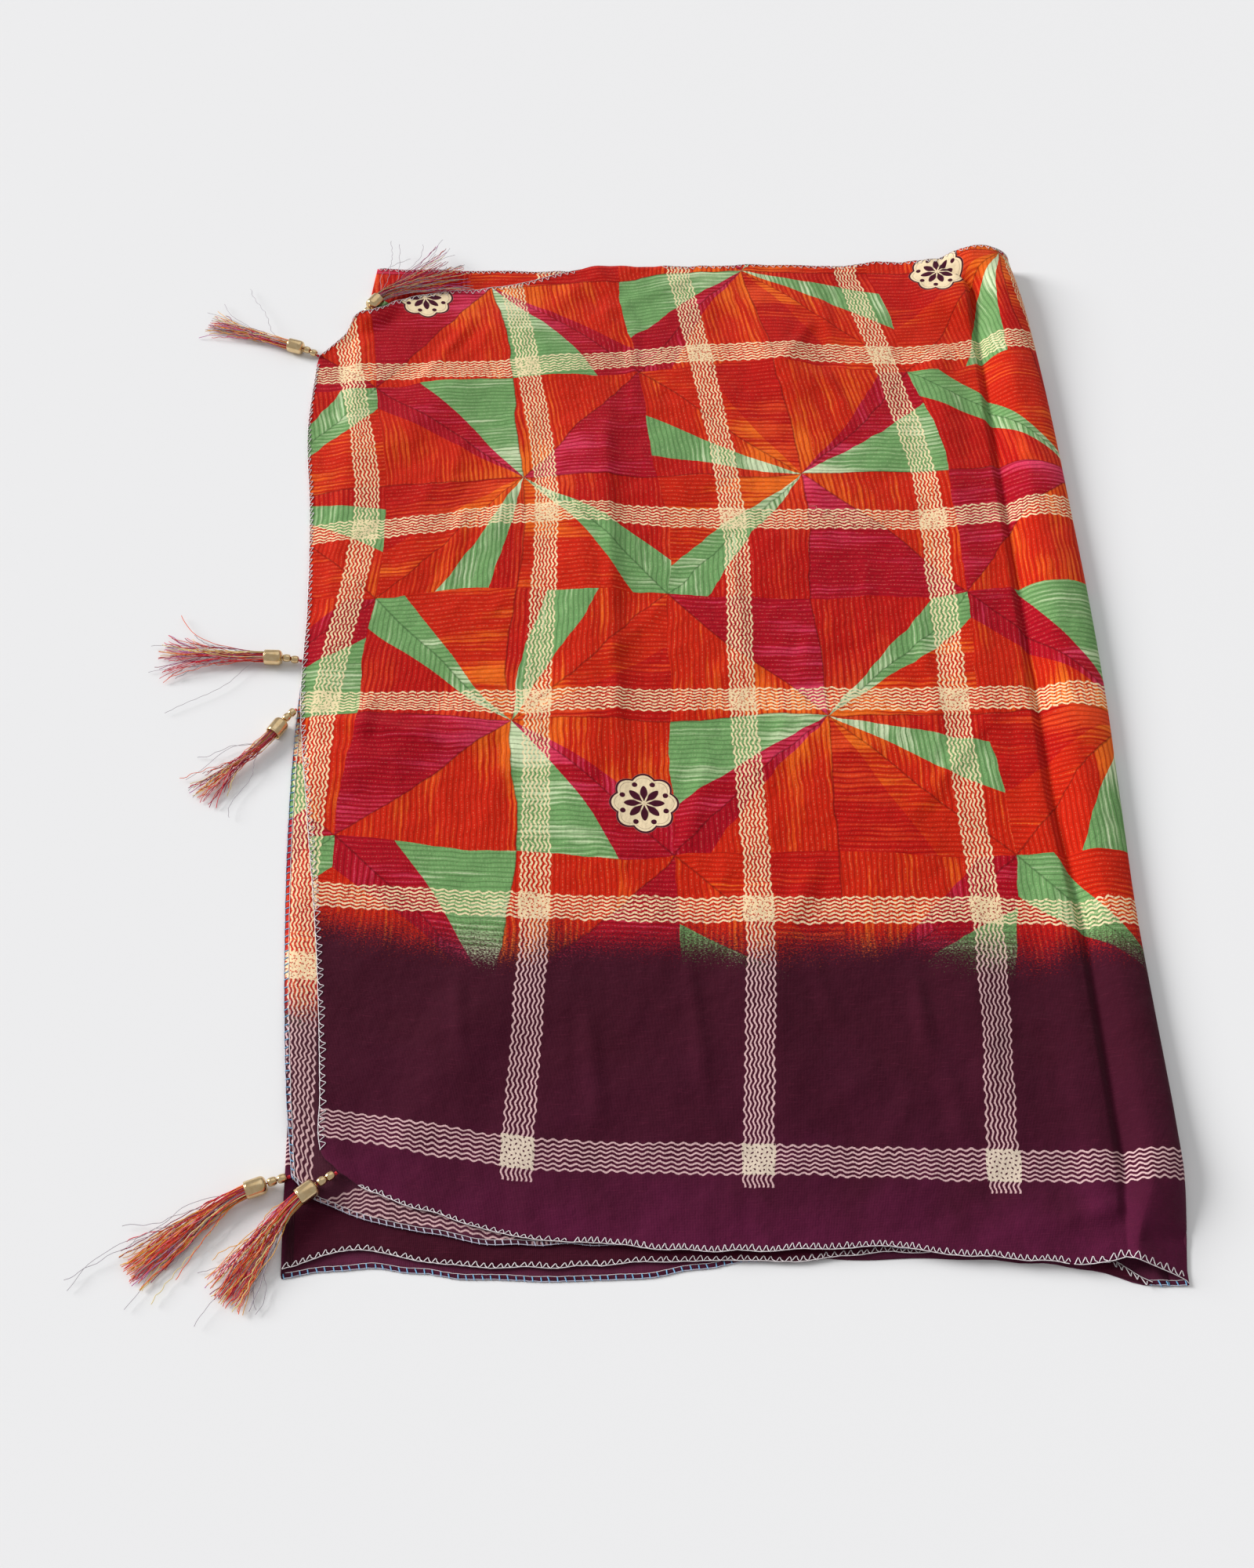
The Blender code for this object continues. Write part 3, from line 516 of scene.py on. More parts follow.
# %% The under cloth's lattice
LOWER_COLUMNS, LEFT_FOLD_COLUMNS, THIRD_COLUMNS, INNER_FOLD_COLUMNS, SECOND_COLUMNS = 74, 10, 76, 8, 88
UNDER_ROWS = 170
FOOT_LAP, LAP_HEIGHT, LAP_START, LAP_RUN = 0.0032, 0.0007, 0.258, 0.008
LEFT_FOLD_RADIUS = THIRD_TOP / 2.0
INNER_FOLD_END = 0.2415
SECOND_LIFT = WALL - VOILE
INNER_FOLD_RADIUS = (SECOND_BOTTOM + SECOND_LIFT - THIRD_TOP) / 2.0
SECOND_BAND_X, SECOND_BAND_Y, SECOND_BAND_LEAN = -0.2852, -0.2518, -0.083
SECOND_HEM_LEAN = -0.105
SECOND_HEM_BAND, SECOND_HEM_ZONE = 0.0145, 0.120
RUN_OFF, RUN_OFF_START, RUN_OFF_RUN = 0.0252, -0.268, 0.053
THIRD_BAND_X, THIRD_BAND_Y, THIRD_STRETCH, THIRD_SINK = -0.3180, -0.3830, 0.85, 0.0002
# How far the third layer's place on the print is pushed back by its near hem, from where and over what run:
# painted shade.
THIRD_PAINTED_SHADE, THIRD_SHADE_START, THIRD_SHADE_RUN = 0.300, -0.022, 0.008
THIRD_SHIFT, SECOND_SHIFT = 0.1, 0.2


def under_lattice():
    rows = np.linspace(0.0, 1.0, UNDER_ROWS)[None, :]
    counts = (LOWER_COLUMNS, LEFT_FOLD_COLUMNS, THIRD_COLUMNS, INNER_FOLD_COLUMNS, SECOND_COLUMNS)
    a, b, c, d, e = np.cumsum(counts)
    share = [np.linspace(0.0, 1.0, count + 1)[1:, None] for count in counts]
    share[0] = np.linspace(0.0, 1.0, counts[0])[:, None]
    y = np.zeros((e, UNDER_ROWS))
    columns = np.arange(e)[:, None]
    as_third = smooth_step((columns - a) / (b - a))
    as_second = smooth_step((columns - c) / (d - c))

    def across_and_up(y):
        fold = section("left_fold", y)
        foot = TUBE_FOOT + FOOT_LAP
        turn_x = fold + LEFT_FOLD_RADIUS
        x_lower = foot + (turn_x[:a] - foot) * share[0]
        turn = math.pi * share[1]
        x_fold = turn_x[a:b] - LEFT_FOLD_RADIUS * np.sin(turn)
        z_fold = np.broadcast_to(LEFT_FOLD_RADIUS * (1.0 - np.cos(turn)), x_fold.shape)
        nose = INNER_FOLD_END - INNER_FOLD_RADIUS - VOILE
        x_third = turn_x[b:c] + (nose - turn_x[b:c]) * share[2]
        z_third = THIRD_TOP + crown(x_third, y[b:c]) - THIRD_SINK
        inner = math.pi * share[3]
        x_inner = np.broadcast_to(nose + INNER_FOLD_RADIUS * np.sin(inner), y[c:d].shape)
        z_inner = np.broadcast_to(THIRD_TOP + INNER_FOLD_RADIUS * (1.0 - np.cos(inner)), y[c:d].shape)
        end = section("second_left", y[d:e])
        x_second = nose + (end - nose) * share[4]
        z_second = second_bottom(x_second, y[d:e]) + SECOND_LIFT
        z_lower = LAP_HEIGHT * smooth_step((x_lower - LAP_START) / LAP_RUN)
        return (np.concatenate((x_lower, x_fold, x_third, x_inner, x_second)),
                np.concatenate((z_lower, z_fold, z_third, z_inner, z_second)))

    for _ in range(SETTLE_ROUNDS):
        x, z = across_and_up(y)
        spans = {layer: hem_span(layer, x) for layer in ("lower", "third", "second")}
        near, back = ((1.0 - as_third) * spans["lower"][side] + (as_third - as_second) * spans["third"][side]
                      + as_second * spans["second"][side] for side in (0, 1))
        y = near + (back - near) * rows
    x, z = across_and_up(y)
    y = y + hem_ripple(rows, x + THIRD_SHIFT * as_third + SECOND_SHIFT * as_second)
    third_x, third_y = THIRD_STRETCH * (x - THIRD_BAND_X) + 2.0 * CHECK_WIDTH, y - THIRD_BAND_Y
    in_third = (columns >= b) & (columns < c)
    # Painted shade: near its hem the third layer's place on the print is pushed far back, so the plum there
    # comes out at its darkest, as the shadow in the gap under the layers above.
    third_y = third_y - THIRD_PAINTED_SHADE * in_third * smooth_step((THIRD_SHADE_START - third_y) / THIRD_SHADE_RUN)
    second_x = x - SECOND_BAND_X - SECOND_BAND_LEAN * (y - SECOND_BAND_Y)
    second_y = y - SECOND_BAND_Y + CHECK_HEIGHT - SECOND_HEM_LEAN * (x - SECOND_BAND_X)
    from_hem = y - hem_span("second", x)[0]
    beside_hem = smooth_step((SECOND_HEM_ZONE - from_hem) / (SECOND_HEM_ZONE - SECOND_HEM_BAND))
    run_off = RUN_OFF * (1.0 - smooth_step((x - RUN_OFF_START) / RUN_OFF_RUN))
    second_y = second_y + (from_hem - SECOND_HEM_BAND + run_off - second_y) * beside_hem
    on_third, on_second = np.stack((third_x, third_y), axis=-1), np.stack((second_x, second_y), axis=-1)
    prints = np.where(columns[..., None] < c, on_third, on_second)
    return Lattice(np.stack((x, y, z), axis=-1), {"print": prints})


under = under_lattice()
print("under cloth:", under.points.shape[:2], "points")

# %% [markdown]
# Sewing a lattice into a sheet is the same for both: add the grid, match each of its corners to a
# column and a row, move it there, store the print's place as UVs, and thicken it. The wall goes
# inwards from the right side of the cloth, and its inner faces take the second material, the wrong
# side, because a printed voile is paler there.

# %% Sew a lattice into a sheet
def sew_sheet(name, lattice, right_side, wrong_side):
    columns, rows = lattice.points.shape[:2]
    deselect_all()
    bpy.ops.mesh.primitive_grid_add(
        x_subdivisions=columns - 1, y_subdivisions=rows - 1, size=2.0, calc_uvs=False)
    sheet = bpy.context.object
    sheet.name = name
    mesh = sheet.data
    mesh.name = name
    spots = np.empty(len(mesh.vertices) * 3, np.float32)
    mesh.vertices.foreach_get("co", spots)
    spots = spots.reshape(-1, 3)
    column = np.rint((spots[:, 0] + 1.0) / 2.0 * (columns - 1)).astype(int)
    row = np.rint((spots[:, 1] + 1.0) / 2.0 * (rows - 1)).astype(int)
    mesh.vertices.foreach_set("co", lattice.points[column, row].astype(np.float32).ravel())
    corners = np.empty(len(mesh.loops), np.int32)
    mesh.loops.foreach_get("vertex_index", corners)
    for label, places in lattice.prints.items():
        layer = mesh.uv_layers.new(name=label)
        layer.data.foreach_set("uv", places[column, row][corners].astype(np.float32).ravel())
    mesh.materials.append(right_side)
    mesh.materials.append(wrong_side)
    bpy.ops.object.shade_smooth()
    solidify = sheet.modifiers.new("voile", "SOLIDIFY")
    solidify.thickness = VOILE
    solidify.offset = -1.0
    solidify.material_offset = 1
    bpy.ops.object.modifier_apply(modifier=solidify.name)
    print(name, len(mesh.polygons), "faces")
    return sheet


# %% [markdown]
# The print is drawn by maths, so it stays sharp at any size. Every pattern below is a sum on the
# print's own two numbers: how far along the scarf and how far across it, in metres. A Number stands
# for what a node works out at every point of the cloth, and each plus or times between two of them
# adds a maths node. The other helpers add a soft-edged mask, a mix of two colours, or noise. The
# ping_pong is the useful one. It gives the distance to the nearest line of a repeat.

# %% Helpers for node trees
class Number:
    """What a node works out at each point. Sums with it add maths nodes to its tree."""

    def __init__(self, socket):
        self.socket = socket

    def __add__(self, other):
        return maths("ADD", self, other)

    def __radd__(self, other):
        return maths("ADD", other, self)

    def __sub__(self, other):
        return maths("SUBTRACT", self, other)

    def __rsub__(self, other):
        return maths("SUBTRACT", other, self)

    def __mul__(self, other):
        return maths("MULTIPLY", self, other)

    def __truediv__(self, other):
        return maths("DIVIDE", self, other)

    def __pow__(self, other):
        return maths("POWER", self, other)


def socket_of(value):
    """The socket that a value comes from, or None for a plain number or colour."""
    socket = getattr(value, "socket", value)
    return socket if isinstance(socket, bpy.types.NodeSocket) else None


def plug(value, socket):
    source = socket_of(value)
    if source is None:
        socket.default_value = value
    else:
        socket.id_data.links.new(source, socket)


def add_node(kind, values, sockets):
    """A new node in the tree that the values come from, with the values plugged in."""
    tree = next(socket_of(value).id_data for value in values if socket_of(value) is not None)
    node = tree.nodes.new("ShaderNode" + kind)
    for value, socket in zip(values, sockets):
        plug(value, node.inputs[socket])
    return node


def maths(operation, *values):
    node = add_node("Math", values, range(3))
    node.operation = operation
    return Number(node.outputs[0])


def ping_pong(value, half):
    return maths("PINGPONG", value, half)


def size_of(value):
    return maths("ABSOLUTE", value)


def length_of(x, y):
    return (x * x + y * y) ** 0.5


def soft_mask(value, none_at, full_at):
    """0 where the value is at none_at, 1 where it is at full_at, and a soft edge between."""
    node = add_node("MapRange", (value, none_at, full_at), ("Value", "From Min", "From Max"))
    node.interpolation_type = "SMOOTHSTEP"
    return Number(node.outputs["Result"])


def mix_colour(share, first, second, blend="MIX"):
    node = add_node("Mix", (share, first, second), (0, 6, 7))
    node.data_type = "RGBA"
    node.blend_type = blend
    return node.outputs[2]


def glazed(share, colour, glaze):
    """The colour, and as far as share says, the colour under a dark glaze."""
    return mix_colour(share, colour, mix_colour(1.0, colour, (*glaze, 1.0), "MULTIPLY"))


def colour_steps(place, stops, smooth=False):
    """A colour for each stretch of a number from 0 to 1."""
    node = add_node("ValToRGB", (place,), (0,))
    ramp = node.color_ramp
    ramp.interpolation = "LINEAR" if smooth else "CONSTANT"
    while len(ramp.elements) < len(stops):
        ramp.elements.new(1.0)
    for element, (position, colour) in zip(ramp.elements, stops):
        element.position = position
        element.color = colour
    return node.outputs[0]


def joined(x, y, z=0.0):
    return add_node("CombineXYZ", (x, y, z), range(3)).outputs[0]


def noise(place, scale, detail=2.0, roughness=0.5):
    node = add_node("TexNoise", (place, scale, detail, roughness), ("Vector", "Scale", "Detail", "Roughness"))
    return Number(node.outputs["Fac"])


def wander(place, scale, reach, detail=2.0):
    """Noise that swings about nought."""
    return (noise(place, scale, detail) - 0.5) * reach


def stretched(first, first_scale, second, second_scale, detail=2.0, depth=0.0):
    """Noise with its own scale each way, so that it is drawn out into streaks."""
    return noise(joined(first * first_scale, second * second_scale, depth), 1.0, detail)


def uv_place(tree, name):
    """The place that a UV map gives, whole and as its two numbers."""
    node = tree.nodes.new("ShaderNodeUVMap")
    node.uv_map = name
    parts = add_node("SeparateXYZ", (node.outputs[0],), (0,)).outputs
    return node.outputs[0], Number(parts[0]), Number(parts[1])


print("node helpers are ready")

# %% [markdown]
# The ground of the print is a traditional pieced star: each square block is cut by its middle
# lines and its diagonals into eight triangles, with two slim blades on the diagonals, and every
# triangle is ribbed like pleated silk, its ribs crossing those next door. The order of the colours
# turns from block to block. Two colour rings give a dark and a light shade of each triangle, and
# the ribs, the streaks and the glow at the star's centre decide how much of each there is.

# %% The pieced stars
BLOCK_WIDTH, BLOCK_HEIGHT = 0.237, 0.2413
BLOCK_START = (0.060, 0.105)
RIB, RIB_WAVER = 0.0042, 0.006
BEND, BEND_SCALE = 0.034, 6.0
RIB_LIGHT, GLOW_LIGHT, DARKER, FULL_LIGHT = 0.40, 0.72, 0.84, 0.95
GLOW_OUTER, GLOW_INNER = 0.42, 0.02
GROOVE_DEPTH, SEAM_DEPTH, PICK_SHARE = 0.58, 0.55, 0.20
GROOVE_GLAZE, SEAM_GLAZE = (0.42, 0.36, 0.36), (0.25, 0.30, 0.25)
CREAM = paint(246, 224, 178)
FLAME, FLAME_LIGHT = paint(200, 31, 3), paint(240, 108, 24)
BRICK, BRICK_LIGHT = paint(186, 14, 6), paint(222, 66, 22)
CRIMSON, CRIMSON_LIGHT = paint(170, 2, 26), paint(216, 56, 92)
LEAF, LEAF_LIGHT = paint(112, 158, 96), paint(214, 228, 186)
STAR_RING = (
    # where each piece starts on the ring, its dark shade, its light shade
    (0.000, FLAME, FLAME_LIGHT),
    (0.103, LEAF, LEAF_LIGHT),
    (0.147, BRICK, BRICK_LIGHT),
    (0.250, CRIMSON, CRIMSON_LIGHT),
    (0.375, FLAME, FLAME_LIGHT),
    (0.500, LEAF, LEAF_LIGHT),
    (0.590, CRIMSON, CRIMSON_LIGHT),
    (0.642, FLAME, FLAME_LIGHT),
    (0.750, BRICK, BRICK_LIGHT),
    (0.830, FLAME, FLAME_LIGHT),
    (0.915, LEAF, LEAF_LIGHT),
    (0.965, BRICK, BRICK_LIGHT),
)


def pieced_stars(across, along):
    here = joined(across, along)
    bend_x = wander(here, BEND_SCALE, BEND, 1.0)
    bend_y = wander(joined(along, across, 3.0), BEND_SCALE, BEND, 1.0)
    block_x = (across + bend_x) / BLOCK_WIDTH + (50.5 - BLOCK_START[0] / BLOCK_WIDTH)
    block_y = (along + bend_y) / BLOCK_HEIGHT + (50.5 - BLOCK_START[1] / BLOCK_HEIGHT)
    x, y = maths("FRACT", block_x) - 0.5, maths("FRACT", block_y) - 0.5
    angle = maths("ARCTAN2", y, x) / math.tau + 1.0
    ring = maths("FRACT", angle + (maths("FLOOR", block_x) * 0.25 + maths("FLOOR", block_y) * 0.5))
    dark = colour_steps(ring, [(start, shade) for start, shade, _ in STAR_RING])
    light = colour_steps(ring, [(start, shade) for start, _, shade in STAR_RING])

    eighth = angle * 8.0
    odd = maths("FLOOR", maths("FRACT", eighth * 0.5) * 2.0)
    even = 1.0 - odd
    beside, other = across * odd + along * even, along * odd + across * even
    beside = beside + stretched(beside, 25.0, other, 9.0) * RIB_WAVER
    rib = ping_pong(beside, RIB / 2.0) / (RIB / 2.0)
    reach = length_of(x, y)
    lightness = rib * RIB_LIGHT
    for patches, none_at, full_at, light_share in (
            (stretched(beside, 700.0, other, 22.0, 3.0), 0.34, 0.72, 0.44),
            (noise(here, 13.0, 3.0), 0.30, 0.75, 0.34),
            (stretched(beside, 60.0, other, 9.0, 2.0, 5.0), 0.35, 0.70, 0.60)):
        lightness = lightness + soft_mask(patches, none_at, full_at) * light_share
    lightness = lightness - DARKER + soft_mask(reach, GLOW_OUTER, GLOW_INNER) * GLOW_LIGHT
    colour = mix_colour(soft_mask(lightness, 0.0, FULL_LIGHT), dark, light)

    colour = glazed(soft_mask(rib, 0.36, 0.04) * GROOVE_DEPTH, colour, GROOVE_GLAZE)
    picks = soft_mask(stretched(beside, 240.0, other, 950.0, 1.0), 0.48, 0.60)
    picked = soft_mask(rib, 0.74, 0.90) * picks
    colour = mix_colour(picked * PICK_SHARE, colour, mix_colour(0.45, light, CREAM))
    seam = ping_pong(eighth, 0.5) * (reach * (BLOCK_WIDTH * math.tau / 8.0))
    return glazed(soft_mask(seam, 0.0011, 0.0002) * SEAM_DEPTH, colour, SEAM_GLAZE)


print("blocks:", BLOCK_WIDTH, "by", BLOCK_HEIGHT, "m, ribs every", RIB)

# %% [markdown]
# Over the ground run the checks: bands of seven wavy threads, drawn in cream. Where two bands
# cross, the cream closes up and only a grid of small dots of the ground is left. A few round
# flowers are scattered over both.

# %% Checks and flowers
BAND_LINE, BAND_HALF = 0.00305, 0.0107
LINE_ACROSS = CHECK_WIDTH / round(CHECK_WIDTH / BAND_LINE)
LINE_ALONG = CHECK_HEIGHT / round(CHECK_HEIGHT / BAND_LINE)
WAVE_LENGTH, WAVE_SWING, CROSS_WIDTH = 0.0078, 0.00070, 0.20
PLUM_WIDTH, GROUND_WIDTH = 0.41, 0.09
BAND_TAIL = 0.0187
FLOWER_PLACES_ON_TABLE = ((-0.0495, -0.1235), (-0.2440, 0.4110), (0.2195, 0.4390))
FLOWER_RADIUS, SCALLOP = 0.0224, 0.0018
PETAL_REACH, DOT_RING, DOT_RADIUS = 0.0150, 0.0172, 0.0021
INNER_LINE, INNER_LINE_SHARE = 0.0022, 0.40
FLOWER_CREAM, FLOWER_PLUM = paint(238, 216, 178), paint(66, 12, 34)


def wavy_lines(beside, along, width, line):
    """1 on the wavy lines that run along, 0 between them."""
    sway = maths("SINE", along * (math.tau / WAVE_LENGTH)) * WAVE_SWING
    from_line = ping_pong(beside + sway, line / 2.0)
    return soft_mask(from_line - width * (line / 2.0), 0.00016, -0.00016)


def checks(across, along, on_ground):
    """How much cream there is: the two ways of bands, and their crossings."""
    in_down = maths("LESS_THAN", ping_pong(across, CHECK_WIDTH / 2.0), BAND_HALF)
    in_down = in_down * maths("GREATER_THAN", along, -BAND_TAIL)
    in_row = maths("LESS_THAN", ping_pong(along, CHECK_HEIGHT / 2.0), BAND_HALF)
    in_row = in_row * maths("GREATER_THAN", along, -2.0 * BAND_HALF)
    crossing = in_down * in_row
    width = PLUM_WIDTH + on_ground * GROUND_WIDTH + crossing * CROSS_WIDTH
    down = wavy_lines(across, along, width, LINE_ACROSS) * in_down
    row = wavy_lines(along, across, width, LINE_ALONG) * in_row
    return maths("MAXIMUM", down, row), crossing


def flowers(tree, ground):
    """A round scalloped flower in cream and plum, eight petals inside a ring of dots."""
    _, x, y = uv_place(tree, "flower")
    reach = length_of(x, y)
    turns = maths("ARCTAN2", y, x) * 4.0
    petal_side, scallop_side = size_of(maths("SINE", turns)), size_of(maths("COSINE", turns))
    past_edge = reach - (FLOWER_RADIUS - SCALLOP + scallop_side * (2.0 * SCALLOP))
    disc = soft_mask(past_edge, 0.0018, 0.0014)
    rim = disc - soft_mask(past_edge, 0.0001, -0.0003)
    inner_line = soft_mask(size_of(past_edge + INNER_LINE), 0.0004, 0.0002)
    rim = maths("MAXIMUM", rim, inner_line * INNER_LINE_SHARE)
    swell = maths("SINE", reach / PETAL_REACH * math.pi) ** 0.62
    petal = soft_mask(petal_side - swell * 0.98, 0.06, -0.06) * maths("LESS_THAN", reach, PETAL_REACH)
    dot_side = maths("ARCSINE", scallop_side) / 4.0 * reach
    dots = soft_mask(length_of(dot_side, reach - DOT_RING), DOT_RADIUS + 0.0002, DOT_RADIUS - 0.0002)
    heart = soft_mask(reach, 0.0021, 0.0017) * soft_mask(reach, 0.0008, 0.0011)
    dark = maths("MAXIMUM", maths("MAXIMUM", rim, petal), dots) * (1.0 - heart)
    return mix_colour(disc, ground, mix_colour(dark, FLOWER_CREAM, FLOWER_PLUM))


print("flowers at", FLOWER_PLACES_ON_TABLE)

# %% [markdown]
# Towards the long edges the print ends in a dyed border: the ground fades through a grainy shade
# to deep plum. The dye isn't even. It clouds, and the slubs of the weave show through it. A strip of
# the third layer by its near hem is given the darkest plum as painted shade, for the gap under the
# layers above.

# %% The plum border
PLUM_SHADES = ((0.0, paint(92, 20, 56)), (0.45, paint(70, 12, 36)), (1.0, paint(66, 10, 30)))
PLUM_DARK, PLUM_SLUB = paint(48, 12, 30), paint(118, 40, 66)
BORDER_TOP, BORDER_FULL = 0.176, 0.141
BORDER_DEPTH, BORDER_SHIFT, BORDER_CLOUD = 0.16, 0.36, 0.9
BORDER_GRAIN = 0.014
WEAVE_SHARE, SLUB_SHARE = 0.45, 0.22


def border_share(place, x, y, along):
    """1 in the border, 0 on the pieced ground, and a grainy edge between."""
    grain = noise(joined(x * 0.7, y), 900.0, 2.0, 0.8)
    dusk = along + (grain - 0.5) * (BORDER_GRAIN * 6.0) + wander(place, 12.0, BORDER_GRAIN * 3.0)
    return soft_mask(dusk, BORDER_TOP, BORDER_FULL)


def plum_dye(place, across, along):
    depth = along / BORDER_DEPTH + BORDER_SHIFT + wander(place, 22.0, BORDER_CLOUD, 3.0)
    # The size of the depth is taken so that the third layer's strip by its near hem, pushed far back on the
    # print, gets the darkest plum: painted shade.
    plum = colour_steps(size_of(depth), PLUM_SHADES, smooth=True)
    plum = mix_colour(stretched(across, 1200.0, along, 140.0) * WEAVE_SHARE, plum, PLUM_DARK)
    slubs = soft_mask(stretched(across, 70.0, along, 1500.0, 3.0), 0.56, 0.74)
    return mix_colour(slubs * SLUB_SHARE, plum, PLUM_SLUB)


print("border:", BORDER_FULL, "to", BORDER_TOP, "m from the first band")

# %% [markdown]
# Voile is a thin plain weave with a soft, slightly fuzzy surface. Its shader is rough, with a
# little sheen for the fuzz, and its bump has three scales: the threads themselves, small crumples,
# and the faint sag of washed cloth. The wrong side is the same print seen through the cloth, so it
# is mixed a little towards a pale pinkish grey.

# %% The cloth's two sides
THREAD, THREAD_BUMP = 0.0007, 0.30
CRUMPLE, SAG, BUMP_STRENGTH = 0.0022, 0.0090, 0.85
FRAY, ROAM = 0.0007, 0.0050
CREAM_ON_PLUM, CROSS_ON_PLUM = paint(218, 180, 180), paint(226, 208, 188)
CREAM_BREAKS, CREAM_WEAR = 0.80, 0.18
WRONG_SIDE, WRONG_SHARE = paint(176, 150, 156), 0.03
SHEEN, SHEEN_ROUGHNESS = 0.04, 0.5


def cloth_bump(place, x, y):
    weave = ping_pong(x, THREAD / 2.0) + ping_pong(y, THREAD / 2.0)
    crumple, sag = noise(place, 75.0, 4.0, 0.55) * CRUMPLE, noise(place, 16.0) * SAG
    height = weave * THREAD_BUMP + (crumple + sag)
    return add_node("Bump", (height, BUMP_STRENGTH, 1.0), ("Height", "Strength", "Distance")).outputs[0]


def voile(name, wrong_side, with_flowers):
    material, tree, shader = principled(name, 0.86, 0.10)
    place, x, y = uv_place(tree, "print")
    fray, roam = wander(place, 900.0, FRAY, 1.0), wander(place, 38.0, ROAM)
    across, along = x + (fray + roam), y + (fray - roam)
    border = border_share(place, x, y, along)
    on_ground = 1.0 - border
    ground = mix_colour(border, pieced_stars(across, along), plum_dye(place, across, along))

    cream, crossing = checks(across, along, on_ground)
    breaks = 1.0 - soft_mask(noise(place, 480.0, 1.0), 0.62, 0.56)
    cream = cream * (1.0 - on_ground * CREAM_BREAKS * breaks)
    cream = cream * (1.0 - noise(place, 420.0) * CREAM_WEAR)
    cream_shade = mix_colour(border, CREAM, mix_colour(crossing, CREAM_ON_PLUM, CROSS_ON_PLUM))
    colour = mix_colour(cream, ground, cream_shade)
    if with_flowers:
        colour = flowers(tree, colour)
    if wrong_side:
        colour = mix_colour(WRONG_SHARE, colour, WRONG_SIDE)
    plug(colour, shader.inputs["Base Color"])
    plug(SHEEN, shader.inputs["Sheen Weight"])
    plug(SHEEN_ROUGHNESS, shader.inputs["Sheen Roughness"])
    plug(cloth_bump(place, x, y), shader.inputs["Normal"])
    return material


right_voile = voile("voile_right_side", False, False)
flower_voile = voile("voile_right_side_with_flowers", False, True)
wrong_voile = voile("voile_wrong_side", True, False)
print("cloth materials:", right_voile.name, flower_voile.name, wrong_voile.name)

# %% [markdown]
# The three flowers are printed just where the photograph has them. The cloth stores, beside the
# place on the print, how far each of its points is from the nearest flower's middle, and the
# material draws the flower from that.

# %% Sew both sheets
def to_nearest_flower(places):
    middles = [print_place(np.array(x), np.array(y)) for x, y in FLOWER_PLACES_ON_TABLE]
    offsets = np.stack([places - middle for middle in middles])
    nearest = np.argmin(np.linalg.norm(offsets, axis=-1), axis=0)
    return np.take_along_axis(offsets, nearest[None, ..., None], axis=0)[0]


upper.prints["flower"] = to_nearest_flower(upper.prints["print"])
upper_cloth = sew_sheet("upper_cloth", upper, flower_voile, wrong_voile)
under_cloth = sew_sheet("under_cloth", under, right_voile, wrong_voile)
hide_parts("cloth_upper")
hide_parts("cloth_second", "cloth_core", "cloth_lower")
for cloth in (upper_cloth, under_cloth):
    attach(cloth, "root")
print("sheets:", upper_cloth.name, under_cloth.name)

# %% [markdown]
# A small corner of the lower layer is turned up at the mouth of the big fold, right side out. It
# is its own little strip, between the line of its hem and the line where it doubles back, and it
# is joined to the under cloth.

# %% The turned-up corner
TURNED_HEM = np.array((
    (0.2290, -0.4490), (0.2388, -0.4512), (0.2473, -0.4568), (0.2557, -0.4628), (0.2650, -0.4676)))
TURNED_FOLD = np.array((
    (0.2270, -0.4582), (0.2388, -0.4616), (0.2473, -0.4643), (0.2557, -0.4666), (0.2650, -0.4683)))
TURNED_HEIGHTS = np.array((0.0010, 0.0017, 0.0021, 0.0022, 0.0021, 0.0020, 0.0018))
TURNED_COLUMNS = 30
TURNED_PRINT_SHIFT = (0.0, 0.390)


def along_line(line, shares):
    steps = np.linspace(0.0, 1.0, len(line))
    return np.stack([curve_through(steps, line[:, axis], shares) for axis in (0, 1)], axis=-1)


shares = np.linspace(0.0, 1.0, TURNED_COLUMNS)
fold_line, hem_line = along_line(TURNED_FOLD, shares)[:, None], along_line(TURNED_HEM, shares)[:, None]
inwards = np.linspace(0.0, 1.0, len(TURNED_HEIGHTS))[None, :, None]
flat_places = fold_line + (hem_line - fold_line) * inwards
heights = np.broadcast_to(TURNED_HEIGHTS[None, :, None], (*flat_places.shape[:2], 1))
turned_points = np.concatenate((flat_places, heights), axis=-1)
turned_up = Lattice(turned_points, {"print": flat_places - TURNED_PRINT_SHIFT})
corner = sew_sheet("turned_corner", turned_up, right_voile, wrong_voile)
deselect_all()
corner.select_set(True)
under_cloth.select_set(True)
bpy.context.view_layer.objects.active = under_cloth
bpy.ops.object.join()
print("under cloth with its turned corner:", len(under_cloth.data.polygons), "faces")

# %% [markdown]
# Thread is made as thread. Each run is a row of points for a curve with a round section, and the
# curve is converted to a mesh. The same function makes the stitches and the tassels. A run also
# says which of the object's materials it takes and how thick it is.

# %% Thread from curves
Run = namedtuple("Run", "points radius shade")
THREAD_DARK = 0.80


def mottled(name, dark, light, scale, detail, roughness, specular=0.5, metallic=0.0):
    """A material whose colour wanders between a dark shade and a light one."""
    material, tree, shader = principled(name, roughness, specular, metallic)
    place = tree.nodes.new("ShaderNodeTexCoord").outputs["Object"]
    plug(mix_colour(noise(place, scale, detail), dark, light), shader.inputs["Base Color"])
    return material


def thread_paint(name, red, green, blue, roughness=0.75):
    """Spun thread: its colour wanders a little, as dyed fibres do."""
    dark = paint(red * THREAD_DARK, green * THREAD_DARK, blue * THREAD_DARK)
    return mottled(name, dark, paint(red, green, blue), 600.0, 2.0, roughness, 0.3)


